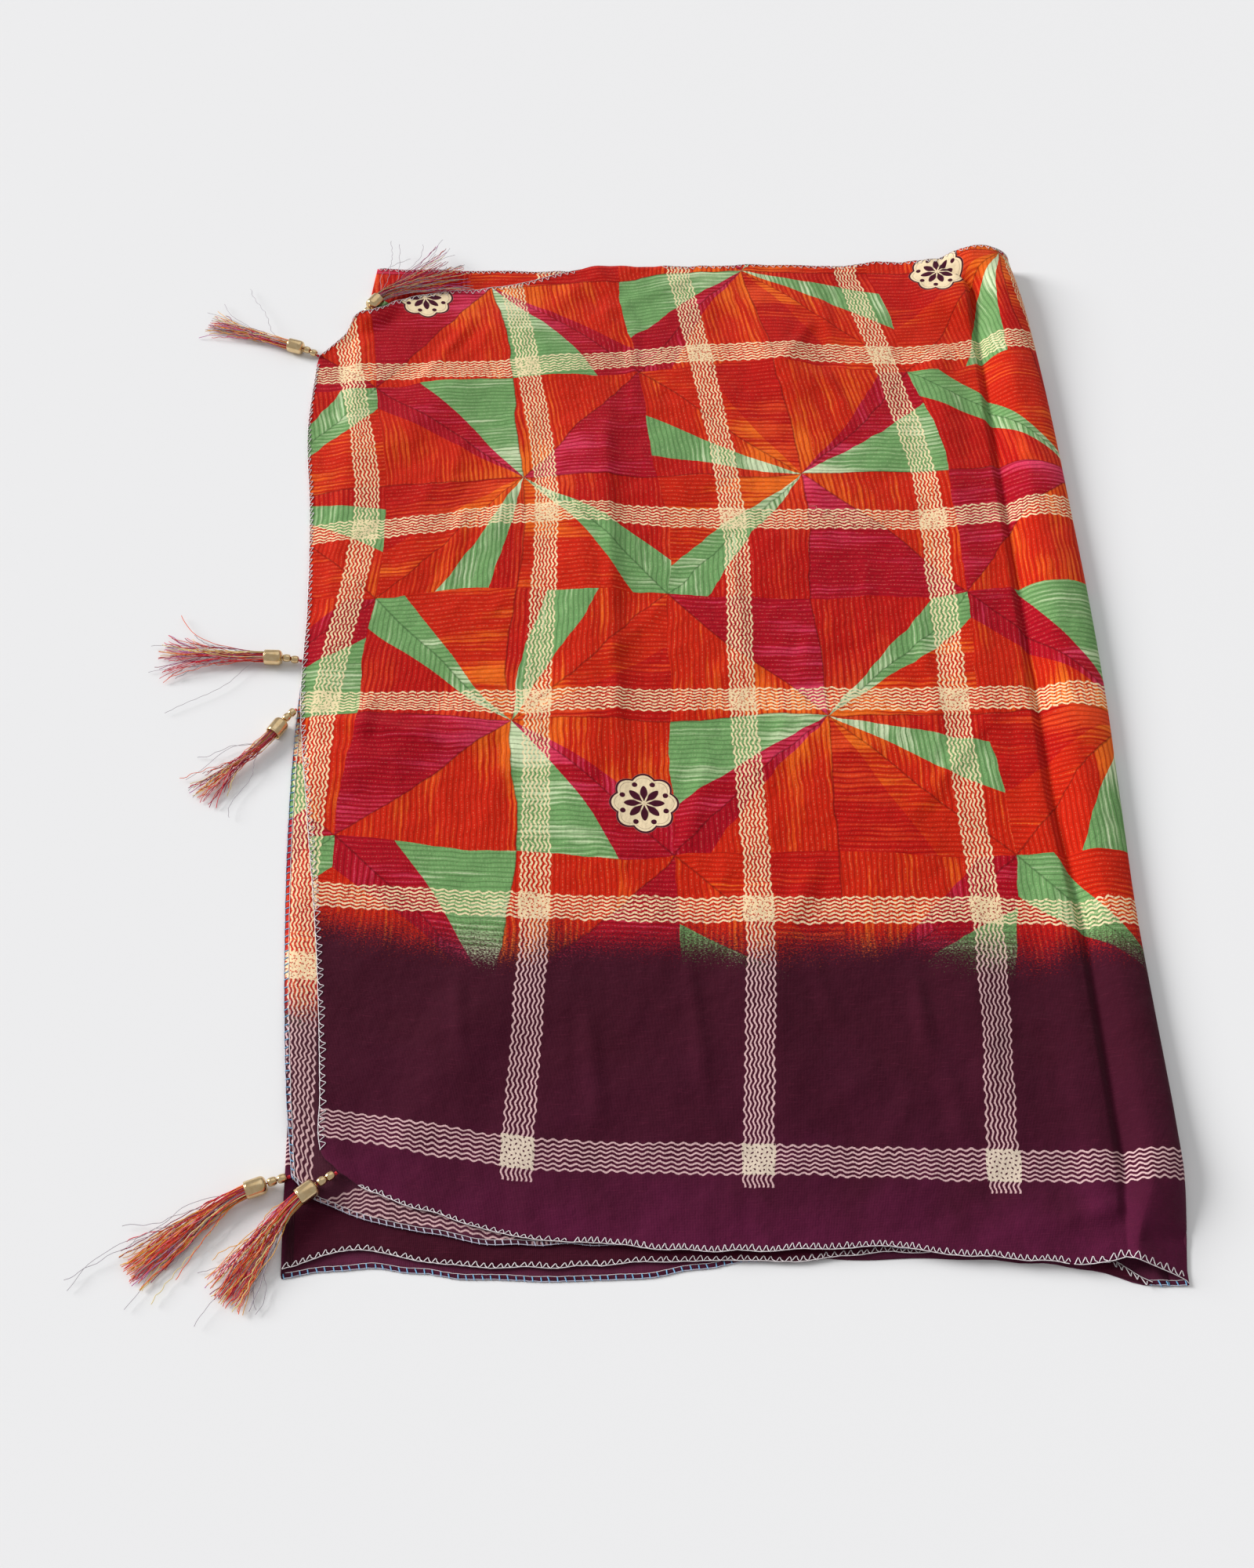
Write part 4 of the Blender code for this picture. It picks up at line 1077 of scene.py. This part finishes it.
def spun(name, runs, materials, sides=1):
    """Every run as a round thread, all in one mesh."""
    deselect_all()
    bpy.ops.curve.primitive_bezier_curve_add()
    thread = bpy.context.object
    thread.name = name
    curve = thread.data
    curve.splines.clear()
    curve.bevel_depth = 1.0
    curve.bevel_resolution = sides
    curve.use_fill_caps = True
    for material in materials:
        curve.materials.append(material)
    for run in runs:
        count = len(run.points)
        spline = curve.splines.new("POLY")
        spline.points.add(count - 1)
        places = np.c_[run.points, np.ones(count)].astype(np.float32)
        spline.points.foreach_set("co", places.ravel())
        spline.points.foreach_set("radius", np.full(count, run.radius, np.float32))
        spline.material_index = run.shade
    bpy.ops.object.convert(target="MESH")
    thread.data.name = name
    bpy.ops.object.shade_smooth()
    print(name, len(runs), "threads", len(thread.data.polygons), "faces")
    return thread


white_thread = thread_paint("hem_thread_white", 255, 246, 248)
pale_thread = thread_paint("hem_thread_pale", 206, 204, 222)
blue_thread = thread_paint("hem_thread_blue", 130, 190, 232)
HEM_MATERIALS = (white_thread, pale_thread, blue_thread)
WHITE, PALE, BLUE = 0, 1, 2

# %% [markdown]
# The hems are whipped by hand. On the right side that gives a line of thread on the edge with
# small pointed loops standing on it. On the wrong side the same stitches are short slanting bars
# in light blue, between the edge and a thin pale line. Every stitch takes its place from the
# lattice, so many millimetres along the edge and so many inwards, and so it follows each bend.

# %% Whip stitches
HEM_DRAW = np.random.default_rng(11)
HEM_THREAD = 0.00032
EDGE_STEP, EDGE_SWAY, EDGE_LIFT = 0.003, 0.00018, 0.00018
TIP_HALF = 0.0003
LOOP_LIFTS = (0.0002, 0.0004, 0.00022, 0.00022, 0.0004)
BAR_THREAD, BAR_SWAY = 0.00042, 0.0004
BAR_ALONG, BAR_INWARDS = np.array((0.0, 0.5, 1.0)), np.array((-0.06, 0.5, 1.0))
BAR_LIFTS = np.array((0.00005, 0.00030, 0.00012))
Edge = namedtuple("Edge", "spots normals run")


def turned_to_edge(field, side):
    """A lattice's field with the wanted edge as its first row."""
    turned = field if side in ("near", "back") else field.swapaxes(0, 1)
    return turned[:, ::-1] if side in ("back", "end") else turned


def edge_of(lattice, side, first=0, last=None, wrong=False):
    normals = np.cross(np.gradient(lattice.points, axis=0), np.gradient(lattice.points, axis=1))
    normals /= np.linalg.norm(normals, axis=-1, keepdims=True)
    spots = lattice.points - normals * VOILE if wrong else lattice.points
    spots = turned_to_edge(spots, side)[first:last]
    normals = turned_to_edge(-normals if wrong else normals, side)[first:last]
    run = np.append(0.0, np.cumsum(np.linalg.norm(np.diff(spots[:, 0], axis=0), axis=-1)))
    return Edge(spots, normals, run)


def beside(edge, along, depth, lift):
    """Places so far along an edge, so deep inwards and so high above the cloth."""
    column = np.clip(np.interp(along, edge.run, np.arange(len(edge.run))), 0.0, len(edge.run) - 1.001)
    c = column.astype(int)
    share = (column - c)[:, None]
    row = depth / np.linalg.norm(edge.spots[c, 1] - edge.spots[c, 0], axis=-1)
    r = np.clip(row, 0.0, 2.0).astype(int)
    inward = (row - r)[:, None]

    def sample(field):
        outer = field[c, r] * (1.0 - share) + field[c + 1, r] * share
        inner = field[c, r + 1] * (1.0 - share) + field[c + 1, r + 1] * share
        return outer * (1.0 - inward) + inner * inward

    return sample(edge.spots) + sample(edge.normals) * np.broadcast_to(lift, along.shape)[:, None]


def edge_line(edge, start, end, depth=0.0002, radius=0.00027, shade=WHITE):
    along = np.arange(start, end, EDGE_STEP)
    sway = HEM_DRAW.uniform(-EDGE_SWAY, EDGE_SWAY, len(along))
    return Run(beside(edge, along, depth + sway, EDGE_LIFT), radius, shade)


def loops(edge, start, end, pitch, depth, shade=WHITE):
    """Pointed loops on the edge: in at the foot, out to a rounded tip and back."""
    count = int((end - start) / pitch)
    foot = start + pitch * (np.arange(count) + HEM_DRAW.uniform(-0.12, 0.12, count))
    tip = foot + pitch * HEM_DRAW.uniform(0.45, 0.72, count)
    deep = depth * HEM_DRAW.uniform(0.78, 1.12, count)
    places = (foot, foot + 0.55 * (tip - foot), tip - TIP_HALF, tip + TIP_HALF, tip + 0.16 * pitch)
    depths = (np.full(count, 0.0001), 0.62 * deep, deep, 0.95 * deep, 0.40 * deep)
    along, inwards = (np.stack(columns, axis=-1).ravel() for columns in (places, depths))
    return Run(beside(edge, along, inwards, np.tile(LOOP_LIFTS, count)), HEM_THREAD, shade)


def bars(edge, start, end, pitch, depth, shade=BLUE):
    """Slanting bars over the edge."""
    runs = []
    starts = np.arange(start, end, pitch)
    for along in starts + HEM_DRAW.uniform(-BAR_SWAY, BAR_SWAY, len(starts)):
        lean, reach = HEM_DRAW.uniform(0.0003, 0.0014), depth * HEM_DRAW.uniform(0.85, 1.1)
        spots = beside(edge, along + lean * BAR_ALONG, reach * BAR_INWARDS, BAR_LIFTS)
        runs.append(Run(spots, BAR_THREAD, shade))
    return runs


def whipped_right(edge, pitch, depth, start=0.0, end=None):
    end = edge.run[-1] if end is None else end
    return [edge_line(edge, start, end), loops(edge, start, end, pitch, depth)]


def whipped_wrong(edge, pitch=0.0052, depth=0.0030, shade=BLUE, start=0.0, end=None):
    end = edge.run[-1] if end is None else end
    runs = [edge_line(edge, start, end, shade=PALE)]
    runs.append(edge_line(edge, start, end, depth + 0.0002, 0.0002, WHITE))
    return runs + bars(edge, start, end, pitch, depth, shade)


def run_at(edge, x):
    """How far along an edge it comes to a place from left to right."""
    return float(np.interp(x, edge.spots[:, 0, 0], edge.run))


print("stitches every 4 to 6 mm, thread", HEM_THREAD, "m")

# %% [markdown]
# The loops aren't alike all round. Along the near hem they get longer towards the mouth of the big
# fold. The back hem has none where it is rolled under. The lower layer's near hem has a long bare
# stretch, and only its two ends are stitched.

# %% Stitch every edge that shows
CORNER_END, LONGER_FROM, MOUTH_X = 0.016, 0.16, 0.215
BACK_START, ROLLED_HEM = 0.004, (-0.105, -0.030)
LEFT_START, LEFT_END = 0.020, 0.740
BARE_FROM, BARE_TO = 0.014, 0.225
FOLD_STITCHED = 2
crest_end = UPPER_COLUMNS + RISE_COLUMNS + CREST_COLUMNS
upper_near = edge_of(upper, "near", 0, crest_end + 2)
mouth = run_at(upper_near, MOUTH_X)
upper_runs = whipped_right(upper_near, 0.0050, 0.0029, CORNER_END, LONGER_FROM)
upper_runs += whipped_right(upper_near, 0.0042, 0.0038, LONGER_FROM, mouth)
upper_runs += whipped_right(upper_near, 0.0053, 0.0046, mouth)
upper_back = edge_of(upper, "back", 0, crest_end + 2)
rolled_from, rolled_to = (run_at(upper_back, x) for x in ROLLED_HEM)
upper_runs += whipped_right(upper_back, 0.0062, 0.0046, BACK_START, rolled_from)
upper_runs += whipped_right(upper_back, 0.0062, 0.0036, rolled_to)
upper_runs += whipped_right(edge_of(upper, "start"), 0.0060, 0.0042, LEFT_START, LEFT_END)
upper_runs += whipped_wrong(edge_of(upper, "near", crest_end + 2, wrong=True))
upper_stitches = spun("upper_cloth_stitches", upper_runs, HEM_MATERIALS, 0)

third_start = LOWER_COLUMNS + LEFT_FOLD_COLUMNS
third_end = third_start + THIRD_COLUMNS
second_start = third_end + INNER_FOLD_COLUMNS
lower_near = edge_of(under, "near", 0, LOWER_COLUMNS, wrong=True)
under_runs = whipped_wrong(lower_near, end=BARE_FROM)
under_runs += whipped_wrong(lower_near, start=BARE_TO)
under_runs += whipped_wrong(edge_of(under, "back", 0, LOWER_COLUMNS, wrong=True))
for side in ("near", "back"):
    under_runs += whipped_right(edge_of(under, side, third_start - FOLD_STITCHED, third_end), 0.0050, 0.0034)
    under_runs += whipped_wrong(edge_of(under, side, second_start, wrong=True), 0.0050, 0.0029, PALE)
under_runs += whipped_wrong(edge_of(under, "end", wrong=True), 0.0056, 0.0032)
under_runs += whipped_right(edge_of(turned_up, "back"), 0.0052, 0.0044)
under_stitches = spun("under_cloth_stitches", under_runs, HEM_MATERIALS, 0)
for stitches in (upper_stitches, under_stitches):
    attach(stitches, "root")

# %% [markdown]
# Each tassel hangs on a red thread that is knotted through the hem. It has two bored gold beads,
# then a turned metal cap, then forty to eighty crinkled threads in crimson, orange and gold. The
# metal is turned like a pot: a profile in radius and length goes round the axis. A torus already
# has the right faces for that, so its corners are moved onto the profile.

# %% Turned gold
BEAD_RADIUS, BEAD_BORE, BEAD_FLATTENED = 0.0030, 0.0005, 0.98
CAP_BORE, CAP_HALF = 0.0050, 0.00675
BEAD_STEPS, TURN_STEPS = 16, 40
CAP_PROFILE = (
    # radius and place along the axis, round the wall from the bore's floor to the thread hole
    (0.0050, -0.00075), (0.0050, 0.00600), (0.00515, 0.00652), (0.00545, 0.00675), (0.00575, 0.00672),
    (0.00592, 0.00645), (0.00592, 0.00605), (0.00580, 0.00585), (0.00595, 0.00560), (0.0060, 0.00520),
    (0.0060, -0.00330), (0.00590, -0.00420), (0.00560, -0.00500), (0.00510, -0.00565), (0.00440, -0.00620),
    (0.00350, -0.00660), (0.00240, -0.00675), (0.00090, -0.00675), (0.00070, -0.00640), (0.00070, -0.00130),
    (0.00090, -0.00095), (0.00300, -0.00078),
)


def turned(name, profile, material):
    """A round body from a closed profile of (radius, along), counted round its wall."""
    deselect_all()
    bpy.ops.mesh.primitive_torus_add(major_segments=TURN_STEPS, minor_segments=len(profile),
                                     major_radius=1.0, minor_radius=0.25, generate_uvs=False)
    body = bpy.context.object
    body.name = body.data.name = name
    for index, vert in enumerate(body.data.vertices):
        radius, along = profile[index % len(profile)]
        round_axis = math.tau * (index // len(profile)) / TURN_STEPS
        vert.co = (radius * math.cos(round_axis), radius * math.sin(round_axis), along)
    body.data.materials.append(material)
    bpy.ops.object.shade_smooth()
    return body


def copied(body, name, place, heading):
    """A copy with its own mesh, whose axis points along a heading, moved to its place for good."""
    deselect_all()
    body.select_set(True)
    bpy.context.view_layer.objects.active = body
    bpy.ops.object.duplicate(linked=False)
    copy = bpy.context.object
    copy.name = copy.data.name = name
    turn = Matrix.Rotation(heading, 4, "Z") @ Matrix.Rotation(math.pi / 2.0, 4, "Y")
    copy.data.transform(Matrix.Translation(place) @ turn)
    copy.data.update()
    return copy


gold = mottled("champagne_gold", paint(206, 168, 112), paint(242, 220, 178), 260.0, 3.0, 0.21, metallic=1.0)
bead_middle = (BEAD_RADIUS + BEAD_BORE) / 2.0
bead_wall = BEAD_RADIUS - bead_middle
bead_profile = [
    (bead_middle + bead_wall * math.cos(turn), BEAD_RADIUS * BEAD_FLATTENED * math.sin(turn))
    for turn in np.linspace(0.0, math.tau, BEAD_STEPS, endpoint=False)]
bead_pattern = turned("bead_pattern", bead_profile, gold)
cap_pattern = turned("cap_pattern", CAP_PROFILE, gold)
print("profiles:", len(bead_profile), "and", len(CAP_PROFILE), "points")

# %% [markdown]
# The threads leave the cap as one bundle and then fan out and fall to the table. Each is a smooth
# curve from its place in the mouth to its own end, with crinkles from having been twisted. A few
# long fine ones stray, as the photograph shows.

# %% Six tassels
Tassel = namedtuple("Tassel", "name heading fan spread length end_height strands gather paleness strays")
STRAY_SHADE = 5
TASSELS = (
    # gather is how far the threads keep together; strays are where single long threads end on the table
    Tassel("top_back", 161, 156, 10, 0.080, 0.0010, 54, 0.8, 2.4,
           ((-0.4020, 0.4270), (-0.4370, 0.3930), (-0.4250, 0.4080))),
    Tassel("top_middle", 178, 177, 17, 0.082, 0.0010, 54, 0.8, 3.2,
           ((-0.4120, -0.0400), (-0.4330, 0.0210), (-0.4300, -0.0030))),
    Tassel("top_near", 219, 236, 12, 0.074, 0.0010, 76, 0.0, 1.0,
           ((-0.3241, -0.4945), (-0.2917, -0.4856), (-0.3291, -0.4622), (-0.2880, -0.4830))),
    Tassel("under_back", 60, 25, 25, 0.084, 0.0080, 60, 0.2, 6.0,
           ((-0.2802, 0.4825), (-0.2713, 0.4793), (-0.2496, 0.4793), (-0.2255, 0.4739), (-0.2378, 0.4632),
            (-0.2613, 0.4600), (-0.2153, 0.4453), (-0.2320, 0.4860), (-0.2180, 0.4650))),
    Tassel("under_middle", 240, 227, 13, 0.072, 0.0010, 44, 0.9, 2.0,
           ((-0.3830, -0.0810), (-0.3500, -0.1330), (-0.3890, -0.1010))),
    Tassel("under_near", 200, 219, 11, 0.084, 0.0010, 76, 0.1, 1.2,
           ((-0.4069, -0.4708), (-0.3715, -0.4840), (-0.3793, -0.4323), (-0.3737, -0.4451),
            (-0.4100, -0.4660))),
)
SHADES = (
    # red, green, blue, how many of each hundred threads
    (238, 44, 62, 24), (255, 104, 54, 21), (255, 186, 78, 19), (255, 230, 150, 10), (164, 34, 80, 8),
    (176, 166, 176, 8), (204, 102, 176, 5), (252, 140, 150, 5),
)
STRAND_STEPS = 38
PALE_FROM = 3
STRAND_THREAD, STRAY_THREAD = 0.00028, 0.00019
STRAND_FLOOR, END_THICKNESS = 0.0004, 0.0030
MOUTH_IN, MOUTH_FILLED = 0.0040, 0.88
FLARE, STRAIGHT_SHARE, LATE_SHARE = 1.15, 0.2, 0.66
FAN_TAILS, FAN_WILDEST, FAN_SCATTER = 2.2, 4.0, 0.20
LONGEST, SHORTER = 1.03, 0.30
CRINKLES = (((30.0, 72.0), (0.0002, 0.0006)), ((5.0, 14.0), (0.0006, 0.0021)))
KNOT_TURNS, KNOT_RADIUS, KNOT_LENGTH, KNOT_THREAD = 3.5, 0.00078, 0.0016, 0.00040
CORD_THREAD, CORD_IN = 0.00042, 0.004
TASSEL_PIECES = ("tie", "bead_1", "bead_2", "cap")
silks = [thread_paint(f"tassel_silk_{number}", *shade[:3], 0.5) for number, shade in enumerate(SHADES)]


def end_towards(tassel, mouth, reach, degrees):
    """Where a thread ends that goes straight out at so many degrees."""
    turn = math.radians(degrees)
    return mouth + tassel.length * reach * Vector((math.cos(turn), math.sin(turn), 0.0))


def strand(draw, mouth, along, tassel, place, reach, target=None):
    """One thread's points, from inside the cap to its end."""
    sideways = Vector((-along.y, along.x, 0.0))
    start = mouth - MOUTH_IN * along + place[0] * sideways + Vector((0.0, 0.0, place[1]))
    out = mouth + FLARE * (start - mouth + MOUTH_IN * along) + STRAIGHT_SHARE * tassel.length * along
    if target is None:
        scatter = float(np.clip(draw.standard_t(FAN_TAILS), -FAN_WILDEST, FAN_WILDEST)) * FAN_SCATTER
        degrees = tassel.fan + tassel.spread * (place[0] / CAP_BORE + scatter)
        end = end_towards(tassel, mouth, reach, degrees)
    else:
        end = Vector((*target, 0.0))
    end.z = tassel.end_height + END_THICKNESS * (0.5 + 0.5 * place[1] / CAP_BORE)
    middle_end = end_towards(tassel, mouth, reach, tassel.fan)
    late = mouth + LATE_SHARE * (end.lerp(middle_end, tassel.gather if target is None else 0.0) - mouth)
    share = np.linspace(0.0, 1.0, STRAND_STEPS)[:, None]
    points = (np.array(start) * (1.0 - share) ** 3 + 3.0 * share * (1.0 - share) ** 2 * np.array(out)
              + 3.0 * share ** 2 * (1.0 - share) * np.array(late) + np.array(end) * share ** 3)
    swing = 0.0
    for waves, swings in CRINKLES:
        wave = np.sin(share * draw.uniform(*waves) + draw.uniform(0.0, 6.3, 3))
        swing = swing + wave * draw.uniform(*swings)
    if target is not None:
        bow = draw.uniform(-0.010, 0.010) * np.sin(math.pi * share)
        bow = bow + draw.uniform(-0.003, 0.003) * np.sin(9.0 * share)
        whole = end - start
        swing = swing + bow * np.array((-whole.y, whole.x, 0.0)) / whole.length
    points = points + swing * smooth_step(share * 2.5 - 0.2) * (1.0, 1.0, 0.45)
    points[:, 2] = np.maximum(points[:, 2], STRAND_FLOOR)
    return points


def tassel_threads(draw, mouth, along, tassel):
    shares = np.array([shade[3] for shade in SHADES])
    shares = shares * np.where(np.arange(len(SHADES)) < PALE_FROM, 1.0, tassel.paleness)
    shares = shares / shares.sum()
    runs = []
    for _ in range(tassel.strands):
        reach, turn = CAP_BORE * MOUTH_FILLED * math.sqrt(draw.uniform()), draw.uniform(0.0, math.tau)
        place = (reach * math.cos(turn), reach * math.sin(turn))
        points = strand(draw, mouth, along, tassel, place, LONGEST - SHORTER * draw.uniform() ** 2)
        runs.append(Run(points, STRAND_THREAD, int(draw.choice(len(SHADES), p=shares))))
    for target in tassel.strays:
        place = [CAP_BORE * float(draw.uniform(-0.5, 0.5)) for _ in range(2)]
        runs.append(Run(strand(draw, mouth, along, tassel, place, 1.0, target), STRAY_THREAD, STRAY_SHADE))
    return runs


def stand_in(piece, node):
    """The piece is shown in place of the frame's node."""
    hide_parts(node)
    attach(piece, "root")


for number, tassel in enumerate(TASSELS):
    node = "tassel_" + tassel.name
    heading = math.radians(tassel.heading)
    along = Vector((math.cos(heading), math.sin(heading), 0.0))
    middles = {piece: sum(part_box(f"{node}_{piece}"), Vector()) / 2.0 for piece in TASSEL_PIECES}
    for piece, pattern in (("bead_1", bead_pattern), ("bead_2", bead_pattern), ("cap", cap_pattern)):
        metal = copied(pattern, f"{node}_{piece}_turned", middles[piece], heading)
        stand_in(metal, f"{node}_{piece}")

    draw, mouth = np.random.default_rng(100 + number), middles["cap"] + CAP_HALF * along
    runs = tassel_threads(draw, mouth, along, tassel)
    stand_in(spun(f"{node}_threads", runs, silks, 0), f"{node}_strands")

    knot_turns = np.linspace(0.0, KNOT_TURNS * math.tau, 50)[:, None]
    sideways = np.array((-along.y, along.x, 0.0))
    wound = np.cos(knot_turns) * sideways + np.sin(knot_turns) * (0.0, 0.0, 1.0)
    climb = np.array(along) * (knot_turns / knot_turns[-1] - 0.5) * KNOT_LENGTH
    coil = np.array(middles["tie"]) + KNOT_RADIUS * wound + climb
    stand_in(spun(f"{node}_knot", [Run(coil, KNOT_THREAD, 0)], silks[:1]), f"{node}_tie")
    threaded = np.array([middles[piece] for piece in TASSEL_PIECES])
    threaded[-1] -= CORD_IN * np.array(along)
    cord = spun(f"{node}_cord", [Run(threaded, CORD_THREAD, 0)], silks[:1])
    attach(cord, "root")

for pattern in (bead_pattern, cap_pattern):
    bpy.data.objects.remove(pattern, do_unlink=True)
print("tassels:", len(TASSELS), "with", sum(tassel.strands for tassel in TASSELS), "threads in all")
